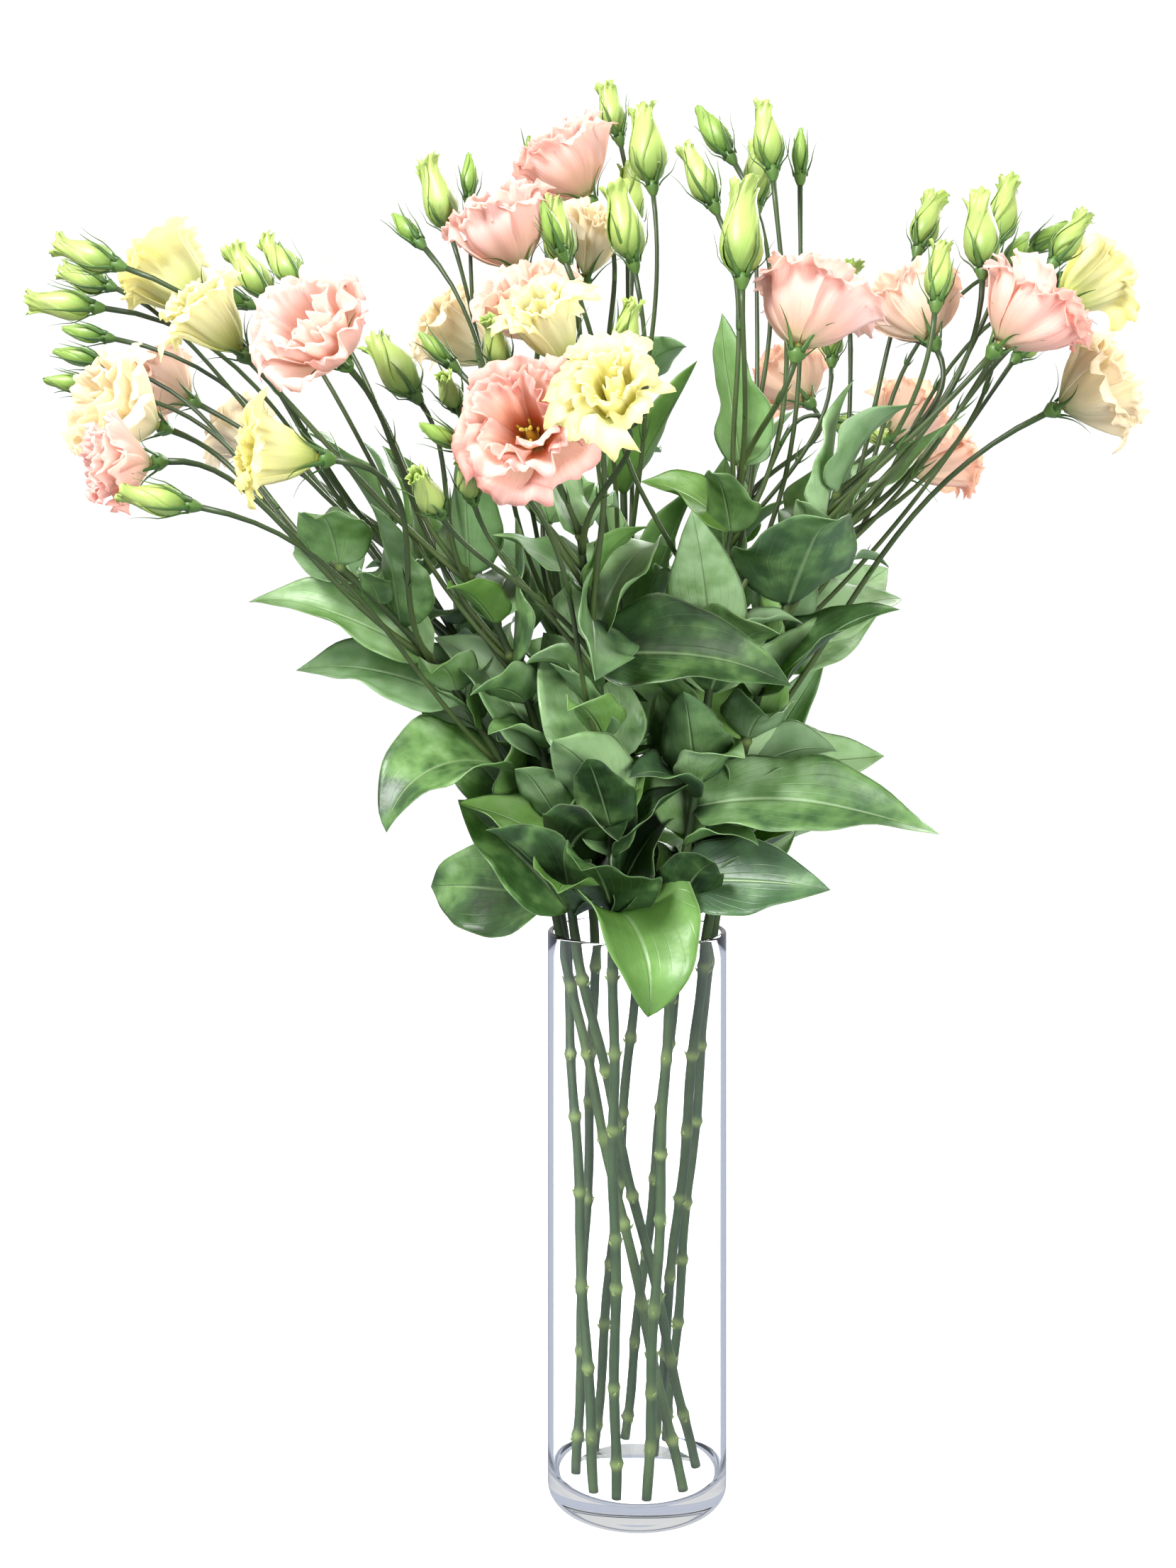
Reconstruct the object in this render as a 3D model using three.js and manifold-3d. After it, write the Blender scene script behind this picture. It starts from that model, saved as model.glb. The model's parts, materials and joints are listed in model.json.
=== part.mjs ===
// A bunch of double lisianthus in a clear glass cylinder vase.
// Millimetres, +Z up. The origin is the centre of the vase's underside, and the photograph looks along +Y.
import * as THREE from "three";
import Module from "manifold-3d";

const wasm = await Module();
wasm.setup();

const rad = THREE.MathUtils.degToRad;
const vec = (x, y, z) => new THREE.Vector3(x, y, z);

// Driving sizes
const VASE = { radius: 50, height: 315, wall: 3, floor: 14, corner: 7, sides: 28 };
const GAP = 0.4; // air between two pieces that touch
const TIDY = 0.2; // how far a joined solid's surface may move where slivers are cleared away
const STEM = { foot: 2.8, tip: 2.0, joint: 1.3, sides: 5, vaseJoints: 4, upperSteps: 6 };
const SPIRAL = rad(115); // how far a stem's line above the rim turns round the bunch on its way up from the floor
const TWIG = { radius: 1.4, sides: 3, steps: 4, apart: 0.04, lean: 0.6 };
const LEAF = { thickness: 0.9, half: 0.27, rows: [0, 0.2, 0.62, 1], root: 0.008, taper: 0.65, widest: 0.459, inset: 1.2 };
const CALYX = { depth: 7, collar: 3.2, lobes: 5, reach: 13, height: 15 };
const PETAL = { thickness: 0.9, outer: 5, inner: 3, rows: { outer: [[-1, 0, 1], [-1, -0.35, 0.35, 1]], inner: [[-1, 0, 1], [-1, 0, 1]] } };
const TUBE = { height: 12, rings: [[0, 2.4], [5, 4.8], [12, 6.4]], wall: 1.2, throat: [[12, 3.9], [12, 2.6]] };
const BLOOM = { open: { depth: 0.68, flare: 0.6, rise: 1 }, half: { depth: 1.15, flare: 0.62, rise: 0.95 } };
const BUD = { bud: 0.205, tight: 0.18, twist: rad(50) };
const BUD_OUTLINE = { bud: [[0.22, 0.95], [0.58, 0.84], [1, 0.2]], tight: [[0.35, 1], [1, 0.2]] };

const COLOUR = {
  glass: 0xe9f2f4,
  green: 0x4f7a45,
  pink: 0xf6b9a9,
  blush: 0xf7d3c2,
  cream: 0xf6eab8,
  yellow: 0xf4ee9a,
};

// Each stem: where it leaves the rim (degrees round the vase, distance from its axis), how far from the axis its line
// above the rim comes up from the floor, its foot, the last joint's place, how steeply the stem ends, the first leaf
// pair's direction, and the leaf joints as shares of the way from rim to last joint.
// Each leaf that the photograph shows: its joint as such a share, its tip, its half width, its roll and its droop.
// Each head: form, the joint that it branches from, its middle, the way it faces (azimuth, elevation), its size
// (width across an open or half-open bloom, length of a bud) and a bloom's colour.
const STEMS = [
  {
    exit: 185, rim: 43, wind: 31, foot: [24, -28], top: [-165, -40, 520], rise: 40, turn: 20, joints: [0.12, 0.42, 0.72, 1],
    leaves: [
      [0.1, -140, -25, 348, 25, -65, 15],
      [0.3, -140, -25, 440, 15, -70, 10],
      [0.42, -86, -92, 378, 25, -25, 90],
      [0.6, -196, -30, 462, 20, -50, 30],
      [0.72, -216, -10, 505, 17, -50, 20],
      [0.82, -212, -68, 515, 17, -40, 30],
      [0.95, -237, -35, 542, 18, -40, 25],
    ],
    heads: [
      ["open", 2, -262, -95, 566, 205, -5, 46, "pink"],
      ["bud", 1, -243, -112, 547, 190, 10, 34],
      ["half", 2, -176, -138, 566, 188, 5, 36, "yellow"],
      ["open", 3, -280, -28, 600, 215, 15, 64, "cream"],
      ["tight", 3, -321, 5, 622, 185, 10, 26],
      ["tight", 3, -325, 35, 642, 175, 15, 28],
    ],
  },
  {
    exit: 160, rim: 43, wind: 36, foot: [-24, -30], top: [-150, 55, 545], rise: 50, turn: 75, joints: [0.1, 0.4, 0.7, 1],
    leaves: [
      [0.2, -118, 35, 384, 18, -60, 15],
      [0.45, -150, 75, 445, 20, -40, 30],
      [0.75, -168, 25, 468, 18, -30, 90],
      [0.88, -180, 30, 572, 22, -30, 10],
      [1, -215, 70, 590, 17, -30, 20],
    ],
    heads: [
      ["open", 3, -291, 115, 635, 172, 28, 52, "blush"],
      ["half", 3, -262, 20, 682, 165, 40, 46, "yellow"],
      ["bud", 2, -319, -15, 662, 182, 5, 36],
      ["tight", 2, -333, 75, 662, 178, 10, 26],
      ["bud", 3, -327, 55, 692, 165, 20, 34],
      ["bud", 3, -296, -45, 683, 170, 20, 36],
      ["half", 2, -247, 140, 606, 160, 30, 38, "cream"],
    ],
  },
  {
    exit: 215, rim: 42, wind: 28, foot: [33, 0], top: [-92, -58, 515], rise: 55, turn: 130, joints: [0.14, 0.48, 0.78, 1],
    leaves: [
      [0.1, -96, -50, 388, 22, -50, 10],
      [0.25, -72, -72, 398, 16, -45, 30],
      [0.5, -125, -78, 455, 18, -40, 30],
      [0.75, -102, -82, 540, 23, -20, 10],
      [1, -150, -85, 562, 16, -20, 20],
    ],
    heads: [
      ["open", 3, -160, -112, 627, 240, 28, 62, "pink"],
      ["half", 3, -222, -72, 642, 200, 45, 38, "yellow"],
      ["bud", 2, -200, 5, 690, 155, 45, 36],
      ["bud", 2, -210, -35, 676, 160, 50, 36],
      ["tight", 2, -242, 50, 680, 175, 20, 28],
      ["bud", 3, -130, -60, 622, 150, 50, 44],
    ],
  },
  {
    exit: 250, rim: 41, wind: 33, foot: [-12, -37], top: [-32, -92, 535], rise: 70, turn: 175, joints: [0.1, 0.45, 0.75, 1],
    leaves: [
      [0.1, 5, -90, 284, 28, 0, 110],
      [0.3, -28, -100, 420, 14, 0, 10],
      [0.45, -82, -96, 470, 27, -45, 20],
      [0.55, 0, -112, 498, 15, 80, 20],
      [0.72, 74, -104, 457, 22, 60, 30],
      [0.82, -80, -110, 478, 22, -60, 40],
      [1, -75, -128, 578, 15, -20, 10],
    ],
    heads: [
      ["open", 3, -56, -160, 575, 258, 12, 60, "pink"],
      ["half", 3, -17, -212, 584, 255, 20, 36, "yellow"],
      ["half", 2, -46, -145, 625, 235, 45, 36, "yellow"],
      ["bud", 2, -103, -165, 546, 250, 30, 30],
      ["bud", 2, -86, -126, 556, 262, 35, 27],
      ["bud", 3, -96, -115, 600, 258, 25, 26],
      ["tight", 1, -98, -150, 574, 200, 25, 22],
      ["bud", 3, -72, -128, 622, 250, 50, 27],
    ],
  },
  {
    exit: 125, rim: 40, wind: 30, foot: [-34, -8], top: [-60, 28, 590], rise: 75, turn: 30, joints: [0.1, 0.38, 0.68, 1],
    leaves: [
      [0.35, -78, 48, 470, 18, -20, 10],
      [0.6, -88, 15, 545, 20, -30, 10],
      [0.85, -95, 45, 620, 15, -20, 10],
    ],
    heads: [
      ["open", 3, -72, -26, 697, 190, 65, 60, "pink"],
      ["open", 3, -54, -68, 648, 235, 55, 56, "blush"],
      ["half", 2, -104, 62, 657, 175, 35, 44, "cream"],
      ["bud", 3, -112, 6, 729, 165, 72, 44],
      ["tight", 2, -129, -10, 706, 150, 45, 24],
      ["tight", 3, -96, 30, 746, 100, 82, 26],
      ["tight", 2, -107, -72, 629, 170, 45, 22],
    ],
  },
  {
    exit: 85, rim: 36, wind: 26, foot: [-24, 20], top: [-8, 32, 615], rise: 85, turn: 60, joints: [0.08, 0.36, 0.66, 1],
    leaves: [
      [0.15, -30, 66, 405, 20, 0, 20],
      [0.55, 15, -2, 575, 20, 0, 5],
      [0.7, -40, 48, 610, 18, 0, 10],
      [0.85, 24, 8, 640, 16, 0, 5],
    ],
    heads: [
      ["open", 3, -38, 38, 750, 178, 55, 60, "pink"],
      ["half", 3, -24, 8, 702, 300, 62, 36, "cream"],
      ["bud", 3, -13, 62, 794, 150, 75, 34],
      ["bud", 3, 6, 2, 757, 125, 80, 50],
      ["bud", 2, -3, 44, 738, 80, 80, 42],
      ["bud", 2, -8, -52, 699, 190, 78, 42],
      ["bud", 2, -44, -35, 699, 155, 76, 38],
      ["tight", 2, -62, 92, 775, 160, 80, 24],
      ["tight", 2, -46, -112, 682, 220, 60, 24],
    ],
  },
  {
    exit: 295, rim: 40, wind: 34, foot: [4, -38], top: [55, -52, 575], rise: 78, turn: 140, joints: [0.1, 0.42, 0.72, 1],
    leaves: [
      [0.15, 98, -70, 348, 20, 60, 10],
      [0.3, 150, -84, 374, 24, 50, 40],
      [0.35, 22, -86, 452, 17, 0, 5],
      [0.6, 26, -98, 540, 19, 10, 10],
      [1, 30, -74, 642, 17, 0, 5],
    ],
    heads: [
      ["open", 3, 84, -92, 642, 40, 68, 62, "pink"],
      ["bud", 3, 49, -104, 683, 90, 82, 50],
      ["bud", 3, 31, -60, 722, 150, 65, 36],
      ["tight", 3, 41, -20, 757, 155, 58, 34],
      ["bud", 3, 68, -52, 745, 120, 80, 38],
      ["bud", 2, 68, 8, 742, 80, 84, 38],
      ["tight", 2, 88, -28, 743, 80, 86, 24],
      ["bud", 2, -8, -112, 632, 290, 60, 28],
    ],
  },
  {
    exit: 330, rim: 42, wind: 30, foot: [10, 14], top: [108, -48, 560], rise: 60, turn: 10, joints: [0.12, 0.45, 0.74, 1],
    leaves: [
      [0.38, 137, -18, 425, 19, 60, 10],
      [0.55, 122, -75, 500, 22, 40, 10],
      [0.75, 62, -82, 566, 29, 0, 10],
      [0.95, 108, -48, 616, 17, 0, 5],
    ],
    heads: [
      ["open", 3, 152, -30, 654, 130, 60, 54, "blush"],
      ["open", 3, 196, -82, 642, 350, 48, 60, "pink"],
      ["bud", 2, 164, 6, 714, 40, 65, 36],
      ["bud", 3, 150, -92, 664, 60, 75, 32],
      ["bud", 3, 179, -60, 692, 80, 72, 44],
      ["tight", 3, 205, -32, 688, 40, 50, 28],
      ["bud", 2, 122, 20, 677, 90, 80, 34],
    ],
  },
  {
    exit: 5, rim: 43, wind: 35, foot: [18, 32], top: [122, 12, 545], rise: 50, turn: 100, joints: [0.1, 0.42, 0.72, 1],
    leaves: [
      [0.3, 125, 12, 465, 15, 40, 10],
      [0.42, 147, 10, 436, 15, 50, 20],
      [0.62, 192, 38, 522, 24, 45, 15],
      [0.72, 183, 2, 552, 27, 45, 10],
      [0.85, 118, -22, 574, 24, 10, 5],
      [1, 185, 22, 602, 14, 30, 10],
    ],
    heads: [
      ["open", 1, 242, -42, 610, 345, 25, 58, "cream"],
      ["half", 3, 262, 34, 682, 15, 35, 40, "yellow"],
      ["bud", 3, 213, 30, 726, 30, 72, 40],
      ["tight", 3, 248, 62, 718, 20, 35, 30],
      ["bud", 3, 244, 2, 704, 10, 55, 34],
      ["tight", 2, 270, 88, 700, 15, 25, 28],
      ["bud", 2, 238, 62, 655, 30, 40, 30],
    ],
  },
  {
    exit: 45, rim: 38, wind: 28, foot: [-6, 34], top: [72, 75, 570], rise: 68, turn: 45, joints: [0.1, 0.4, 0.7, 1],
    leaves: [
      [0.2, 12, 4, 448, 17, 0, 5],
      [0.35, 92, 66, 432, 20, 40, 20],
      [0.5, 104, 80, 502, 20, 30, 10],
      [0.75, 58, 72, 585, 20, 0, 10],
    ],
    heads: [
      ["open", 3, 104, 132, 640, 130, 45, 52, "blush"],
      ["open", 2, 172, 118, 614, 30, 35, 52, "blush"],
      ["half", 2, 205, 165, 592, 10, 15, 40, "blush"],
      ["bud", 3, 135, 60, 602, 350, -20, 32],
      ["bud", 3, 120, 75, 662, 80, 70, 32],
    ],
  },
];

// A repeatable row of numbers between 0 and 1.
function dice(seed) {
  let state = seed >>> 0;
  return () => {
    state = (state + 0x6d2b79f5) >>> 0;
    let t = state;
    t = Math.imul(t ^ (t >>> 15), t | 1);
    t ^= t + Math.imul(t ^ (t >>> 7), t | 61);
    return ((t ^ (t >>> 14)) >>> 0) / 4294967296;
  };
}

// The direction at an azimuth round +Z and an elevation above the horizon, both in degrees.
function heading(azimuth, elevation) {
  const a = rad(azimuth);
  const e = rad(elevation);
  return vec(Math.cos(a) * Math.cos(e), Math.sin(a) * Math.cos(e), Math.sin(e));
}

const along = (from, way, distance) => from.clone().addScaledVector(way, distance);

// Solids

// A closed solid from points and triangles.
function solid(points, faces) {
  const mesh = new wasm.Mesh({
    numProp: 3,
    vertProperties: new Float32Array(points.flatMap((p) => [p.x, p.y, p.z])),
    triVerts: new Uint32Array(faces.flat()),
  });
  return new wasm.Manifold(mesh);
}

const joined = (solids) => wasm.Manifold.union(solids).simplify(TIDY);

// Triangles that join rings of equal length and cap both ends. Each ring runs anticlockwise seen from the last one.
function ringFaces(rings, sides) {
  const faces = [];
  for (let k = 0; k + 1 < rings; k++) {
    for (let i = 0; i < sides; i++) {
      const a = k * sides + i;
      const b = k * sides + ((i + 1) % sides);
      faces.push([a, b, a + sides], [b, b + sides, a + sides]);
    }
  }
  const last = (rings - 1) * sides;
  for (let i = 1; i + 1 < sides; i++) faces.push([0, i + 1, i], [last, last + i, last + i + 1]);
  return faces;
}

// Two directions square to a third.
function squareTo(way) {
  const helper = Math.abs(way.z) > 0.9 ? vec(1, 0, 0) : vec(0, 0, 1);
  const u = helper.clone().cross(way).normalize();
  return [u, way.clone().cross(u)];
}

// A round bar through points, each with its own radius.
function bar(points, radii, sides) {
  const ring = [];
  let [u, w] = squareTo(points[1].clone().sub(points[0]).normalize());
  points.forEach((p, k) => {
    const before = points[Math.max(k - 1, 0)];
    const after = points[Math.min(k + 1, points.length - 1)];
    const way = after.clone().sub(before).normalize();
    u = u.clone().addScaledVector(way, -u.dot(way)).normalize();
    w = way.clone().cross(u);
    for (let i = 0; i < sides; i++) {
      const a = (2 * Math.PI * i) / sides;
      ring.push(p.clone().addScaledVector(u, radii[k] * Math.cos(a)).addScaledVector(w, radii[k] * Math.sin(a)));
    }
  });
  return solid(ring, ringFaces(points.length, sides));
}

// Triangles between two rows of vertices that may differ in number, seen from the side where the first row runs
// to the left.
function strip(low, high) {
  const faces = [];
  let [i, j] = [0, 0];
  const [m, n] = [low.length - 1, high.length - 1];
  while (i < m || j < n) {
    if (j === n || (i < m && (i + 1) / m <= (j + 1) / n)) {
      faces.push([low[i], high[j], low[i + 1]]);
      i++;
    } else {
      faces.push([low[i], high[j], high[j + 1]]);
      j++;
    }
  }
  return faces;
}

// The faces of a blade that stands on its first row: its inner and outer faces, its sides and its end.
function bladeFaces(inner, outer) {
  const faces = [];
  for (let k = 0; k + 1 < inner.length; k++) {
    const flip = (f) => [f[0], f[2], f[1]];
    faces.push(...strip(inner[k], inner[k + 1]), ...strip(outer[k], outer[k + 1]).map(flip));
    const [a, b, c, d] = [inner[k][0], outer[k][0], inner[k + 1][0], outer[k + 1][0]];
    const [e, f, g, h] = [inner[k].at(-1), outer[k].at(-1), inner[k + 1].at(-1), outer[k + 1].at(-1)];
    faces.push([a, b, c], [b, d, c], [e, g, f], [f, g, h]);
  }
  const [top, under] = [inner.at(-1), outer.at(-1)];
  for (let i = 0; i + 1 < top.length; i++) {
    faces.push([top[i], under[i], top[i + 1]], [under[i], under[i + 1], top[i + 1]]);
  }
  return faces;
}

// Adds a blade's rows to a list of points, half the thickness out along the normals, and returns their numbers.
function bladeRows(points, rows, normals, thickness) {
  return [1, -1].map((face) =>
    rows.map((row, k) =>
      row.map((p, i) => points.push(along(p, normals[k][i], (face * thickness) / 2)) - 1)));
}

// Leaves

const leafHalf = (leaf, u) => (leaf.half * Math.sqrt(u + LEAF.root) * Math.pow(1 - u, LEAF.taper)) / LEAF.widest;

// A leaf's middle line bends down from its first pitch, and its halves fold up from it and wave.
function leafPoint(leaf, u, v) {
  const bend = leaf.droop * u;
  const h = vec(Math.cos(leaf.azimuth), Math.sin(leaf.azimuth), 0);
  const pitch = leaf.pitch - bend;
  const out = (leaf.length * (Math.sin(leaf.pitch) - Math.sin(pitch))) / leaf.droop;
  const up = (leaf.length * (Math.cos(pitch) - Math.cos(leaf.pitch))) / leaf.droop;
  const way = h.clone().multiplyScalar(Math.cos(pitch)).setZ(Math.sin(pitch));
  const level = vec(-h.y, h.x, 0);
  const face = way.clone().cross(level);
  const turn = leaf.roll + leaf.twist * u;
  const side = level.clone().multiplyScalar(Math.cos(turn)).addScaledVector(face, Math.sin(turn));
  const normal = way.clone().cross(side);
  const half = leafHalf(leaf, u);
  const wave = leaf.wave * Math.sin(3 * Math.PI * u + leaf.phase + (v > 0 ? 2 : 0));
  const lift = half * v * v * (leaf.fold + wave);
  return along(leaf.root, h, LEAF.inset + out).setZ(leaf.root.z + up).addScaledVector(side, half * v)
    .addScaledVector(normal, lift);
}

// The normal of a surface point(u, v), away from the side where u turns to v.
function surfaceNormal(point, u, v) {
  const step = 0.02;
  const du = point(Math.min(u + step, 0.99), v).sub(point(Math.max(u - step, 0), v));
  const dv = point(u, v + step).sub(point(u, v - step));
  return du.cross(dv).normalize();
}

function leafSolid(leaf) {
  const rows = [];
  const normals = [];
  const points = [];
  const point = (u, v) => leafPoint(leaf, u, v);
  for (const u of LEAF.rows) {
    const across = u > 0 && u < 1 ? [-1, 0, 1] : [0];
    rows.push(across.map((v) => point(u, v)));
    normals.push(across.map((v) => surfaceNormal(point, Math.min(u, 0.9), v)));
  }
  const [inner, outer] = bladeRows(points, rows, normals, LEAF.thickness);
  return solid(points, bladeFaces(inner, outer));
}

// Flower heads, each in its own frame: Z along the way it faces, and its seat at Z 0

const LONG = { open: BLOOM.open.depth, half: BLOOM.half.depth, bud: 1, tight: 1 };

const headLength = (head) => head.size * LONG[head.form];

function headFrame(head) {
  const [x, y] = squareTo(head.way);
  return new THREE.Matrix4().makeBasis(x, y, head.way).setPosition(head.seat);
}

const inFrame = (frame, r, a, z) => vec(r * Math.cos(a), r * Math.sin(a), z).applyMatrix4(frame);

// The numbers of a ring of points added to a list.
function addRing(points, frame, count, r, z, start = 0) {
  return Array.from({ length: count }, (_, i) =>
    points.push(inFrame(frame, r, start + (2 * Math.PI * i) / count, z)) - 1);
}

// Triangles between two rings that face outwards from the lower to the upper one. Equal shares of the turn match.
function hoop(low, high) {
  return strip([...low, low[0]], [...high, high[0]]).map(([a, b, c]) => [a, c, b]);
}

const lid = (ring) => ring.slice(2).map((_, i) => [ring[0], ring[i + 1], ring[i + 2]]);

// The stalk of a head, its green cup with one pointed lobe for each petal and, on a bud, the wound petals.
function headSolid(head) {
  const frame = headFrame(head);
  const points = [];
  const faces = [];
  const stalk = [];
  let u = vec(frame.elements[0], frame.elements[1], frame.elements[2]);
  for (let k = TWIG.steps; k >= 0; k--) {
    const way = head.twig.getTangent(k / TWIG.steps);
    u = u.addScaledVector(way, -u.dot(way)).normalize();
    const at = new THREE.Matrix4().makeBasis(u, way.clone().cross(u), way)
      .setPosition(head.twig.getPoint(k / TWIG.steps));
    stalk.unshift(addRing(points, at, TWIG.sides, TWIG.radius, 0));
  }
  for (let k = 0; k < TWIG.steps; k++) faces.push(...hoop(stalk[k], stalk[k + 1]));
  faces.push(...lid(stalk[0]).map(([a, b, c]) => [a, c, b]));
  const half = Math.PI / CALYX.lobes;
  const girth = head.colour ? 0 : head.size * BUD[head.form];
  const collar = addRing(points, frame, CALYX.lobes, CALYX.collar, -GAP);
  const tips = head.colour
    ? addRing(points, frame, CALYX.lobes, CALYX.reach, CALYX.height, half)
    : addRing(points, frame, CALYX.lobes, girth + 2.5, head.size * 0.3, half);
  const star = collar.flatMap((c, i) => [c, tips[i]]);
  faces.push(...hoop(stalk[TWIG.steps], star));
  collar.forEach((c, i) => faces.push([c, tips[i], collar[(i + 1) % CALYX.lobes]]));
  let last = collar;
  for (const [t, r] of BUD_OUTLINE[head.form] ?? []) {
    const ring = addRing(points, frame, CALYX.lobes, girth * r, head.size * t, BUD.twist * t);
    faces.push(...hoop(last, ring));
    last = ring;
  }
  faces.push(...lid(last));
  return solid(points, faces);
}

// A point on one petal: u from its base to its rim, v across it.
function petalPoint(head, petal, u, v) {
  const form = BLOOM[head.form];
  const s = u - 0.14 * Math.pow(Math.abs(v), 3) * u;
  const frill = 0.07 * u * u * u * Math.cos(2 * Math.PI * v + petal.phase);
  const reach = (head.size / 2 - petal.base) * petal.scale * Math.pow(s, form.flare);
  const r = (petal.base + reach) * (1 + petal.shingle * v + frill);
  const climb = (headLength(head) - TUBE.height) * petal.rise * (1 - Math.pow(1 - s, form.rise));
  return inFrame(petal.frame, r, petal.turn + petal.width * v, TUBE.height + climb - head.size * frill * 0.5);
}

function petals(head) {
  const roll = dice(head.seed);
  const frame = headFrame(head);
  const whorl = (count, extra) =>
    Array.from({ length: count }, (_, i) => ({
      ...extra, frame, turn: (2 * Math.PI * (i + 0.5)) / count, phase: 2 * Math.PI * roll(),
    }));
  const outer = whorl(PETAL.outer, { whorl: "outer", base: 5.8, scale: 1, rise: 1, width: rad(33), shingle: 0.08 });
  const inner = whorl(PETAL.inner, { whorl: "inner", base: 3.2, scale: 0.5, rise: 0.96, width: rad(54), shingle: 0.06 });
  return head.form === "open" ? [outer, inner] : [outer];
}

// Adds one petal that stands on two base edges.
function addPetal(points, head, petal, innerBase, outerBase) {
  const point = (u, v) => petalPoint(head, petal, u, v);
  const heights = [0.5, 1];
  const places = PETAL.rows[petal.whorl];
  const rows = places.map((across, k) => across.map((v) => point(heights[k], v)));
  const normals = places.map((across, k) => across.map((v) => surfaceNormal(point, Math.min(heights[k], 0.85), v)));
  const [inner, outer] = bladeRows(points, rows, normals, PETAL.thickness);
  return bladeFaces([innerBase, ...inner], [outerBase, ...outer]);
}

// An open or half-open bloom: a short tube with one whorl of petals on its rim, and a second in its throat.
function bloomSolid(head) {
  const frame = headFrame(head);
  const points = [];
  const faces = [];
  const tube = TUBE.rings.map(([z, r]) => addRing(points, frame, PETAL.outer, r, z));
  faces.push(...lid(tube[0]).map(([a, b, c]) => [a, c, b]));
  for (let k = 0; k + 1 < tube.length; k++) faces.push(...hoop(tube[k], tube[k + 1]));
  const rim = TUBE.rings.at(-1);
  let outerRing = tube.at(-1);
  let innerRing = addRing(points, frame, PETAL.outer, rim[1] - TUBE.wall, rim[0]);
  petals(head).forEach((whorl, k) => {
    if (k > 0) {
      const [a, b] = TUBE.throat.map(([z, r]) => addRing(points, frame, whorl.length, r, z));
      faces.push(...hoop(innerRing, a));
      [outerRing, innerRing] = [a, b];
    }
    whorl.forEach((petal, i) => {
      const j = (i + 1) % whorl.length;
      faces.push(...addPetal(points, head, petal, [innerRing[i], innerRing[j]], [outerRing[i], outerRing[j]]));
    });
  });
  faces.push(...lid(innerRing));
  return solid(points, faces);
}

// Layout: places every stem, head, twig and leaf, and keeps what belongs to different stems apart

const filled = []; // balls already taken: { p, r, stem, head }

function take(points, r, stem, head) {
  for (const p of points) filled.push({ p, r, stem, head });
}

// What may be in the way of a piece within `reach` of where it starts: all but its own head, and all of its own
// stem's that is close to the start.
function nearby(start, reach, stem, head) {
  return filled.filter((q) => {
    const d = q.p.distanceTo(start);
    return d < reach + q.r && !(head && q.head === head) && !(q.stem === stem && d < OWN);
  });
}

// The smallest air gap between balls of radius r round the points and the balls of others.
function room(points, r, others) {
  let least = Infinity;
  for (const q of others) {
    for (const p of points) {
      const d = Math.hypot(p.x - q.p.x, p.y - q.p.y, p.z - q.p.z) - r - q.r;
      if (d < least) least = d;
    }
  }
  return least;
}

// The first choice with room round it, or else the one with the most.
function firstClear(choices, measure) {
  let best = null;
  for (const choice of choices) {
    const free = measure(choice);
    if (!best || free > best.free) best = { choice, free };
    if (free > 0) break;
  }
  return best;
}

function stemCurve(spec) {
  const exit = rad(spec.exit);
  const rim = vec(spec.rim * Math.cos(exit), spec.rim * Math.sin(exit), VASE.height - 3);
  const foot = vec(spec.foot[0], spec.foot[1], VASE.floor);
  const lean = foot.clone().sub(rim).setZ(0).length() / foot.distanceTo(rim);
  foot.z += GAP + STEM.foot * lean; // the cut end's lowest edge stands on the vase's floor
  const below = vec(spec.wind * Math.cos(exit - SPIRAL), spec.wind * Math.sin(exit - SPIRAL), VASE.floor);
  const first = rim.clone().sub(below).normalize();
  const top = vec(...spec.top);
  const azimuth = THREE.MathUtils.radToDeg(Math.atan2(top.y, top.x));
  const reach = top.distanceTo(rim) * 0.36;
  const upper = new THREE.CubicBezierCurve3(
    rim, along(rim, first, reach), along(top, heading(azimuth, spec.rise), -reach), top);
  return { foot, rim, upper };
}

function stemBar(stem) {
  const points = [];
  const radii = [];
  const { vaseJoints: low, upperSteps: high } = STEM;
  for (let k = 0; k < low * 2; k++) {
    points.push(stem.foot.clone().lerp(stem.rim, k / (low * 2)));
    radii.push(STEM.foot * (k % 2 ? STEM.joint : 1));
  }
  for (let k = 0; k <= high; k++) {
    points.push(stem.upper.getPoint(k / high));
    radii.push(STEM.foot + (STEM.tip - STEM.foot) * (k / high));
  }
  return bar(points, radii, STEM.sides);
}

// A twig leaves the stem a little outwards and comes to its head along the way that the head faces.
function twigCurve(stem, head, bow) {
  const from = stem.upper.getPoint(head.start);
  const to = along(head.seat, head.way, -CALYX.depth);
  const out = to.clone().sub(from).setZ(0).normalize();
  const first = stem.upper.getTangent(head.start).addScaledVector(out, TWIG.lean).normalize();
  const reach = from.distanceTo(to) * 0.38;
  const side = vec(bow[0], bow[1], 0);
  return new THREE.CubicBezierCurve3(
    from,
    along(from, first, reach).addScaledVector(side, 0.5),
    along(to, head.way, -reach).add(side),
    to);
}

const SUNK = 0.02; // twigs and leaves start this share of the stem below their joint
const OWN = 15; // a piece may be this close to its own stem's pieces where it starts
const BALL = 3.4;
const BALL_STEP = 8;
const LEAST = -1.2; // a leaf that finds less room than this isn't grown

const BOWS = [[0, 0], [9, 0], [-9, 0], [0, 9], [0, -9], [16, 10], [-16, 10], [16, -10], [-16, -10], [26, 0], [-26, 0],
  [0, 26], [0, -26], [36, 20], [-36, 20], [36, -20], [-36, -20], [0, 42], [0, -42], [48, 0], [-48, 0]];

const LEAF_TURNS = [0, 10, -10, 20, -20, 32, -32, 46, -46, 62, -62];
const LEAF_TILTS = [0, 10, -10, 22, -20, 34];
const LEAF_SIZES = [1, 0.86, 0.72];

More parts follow.
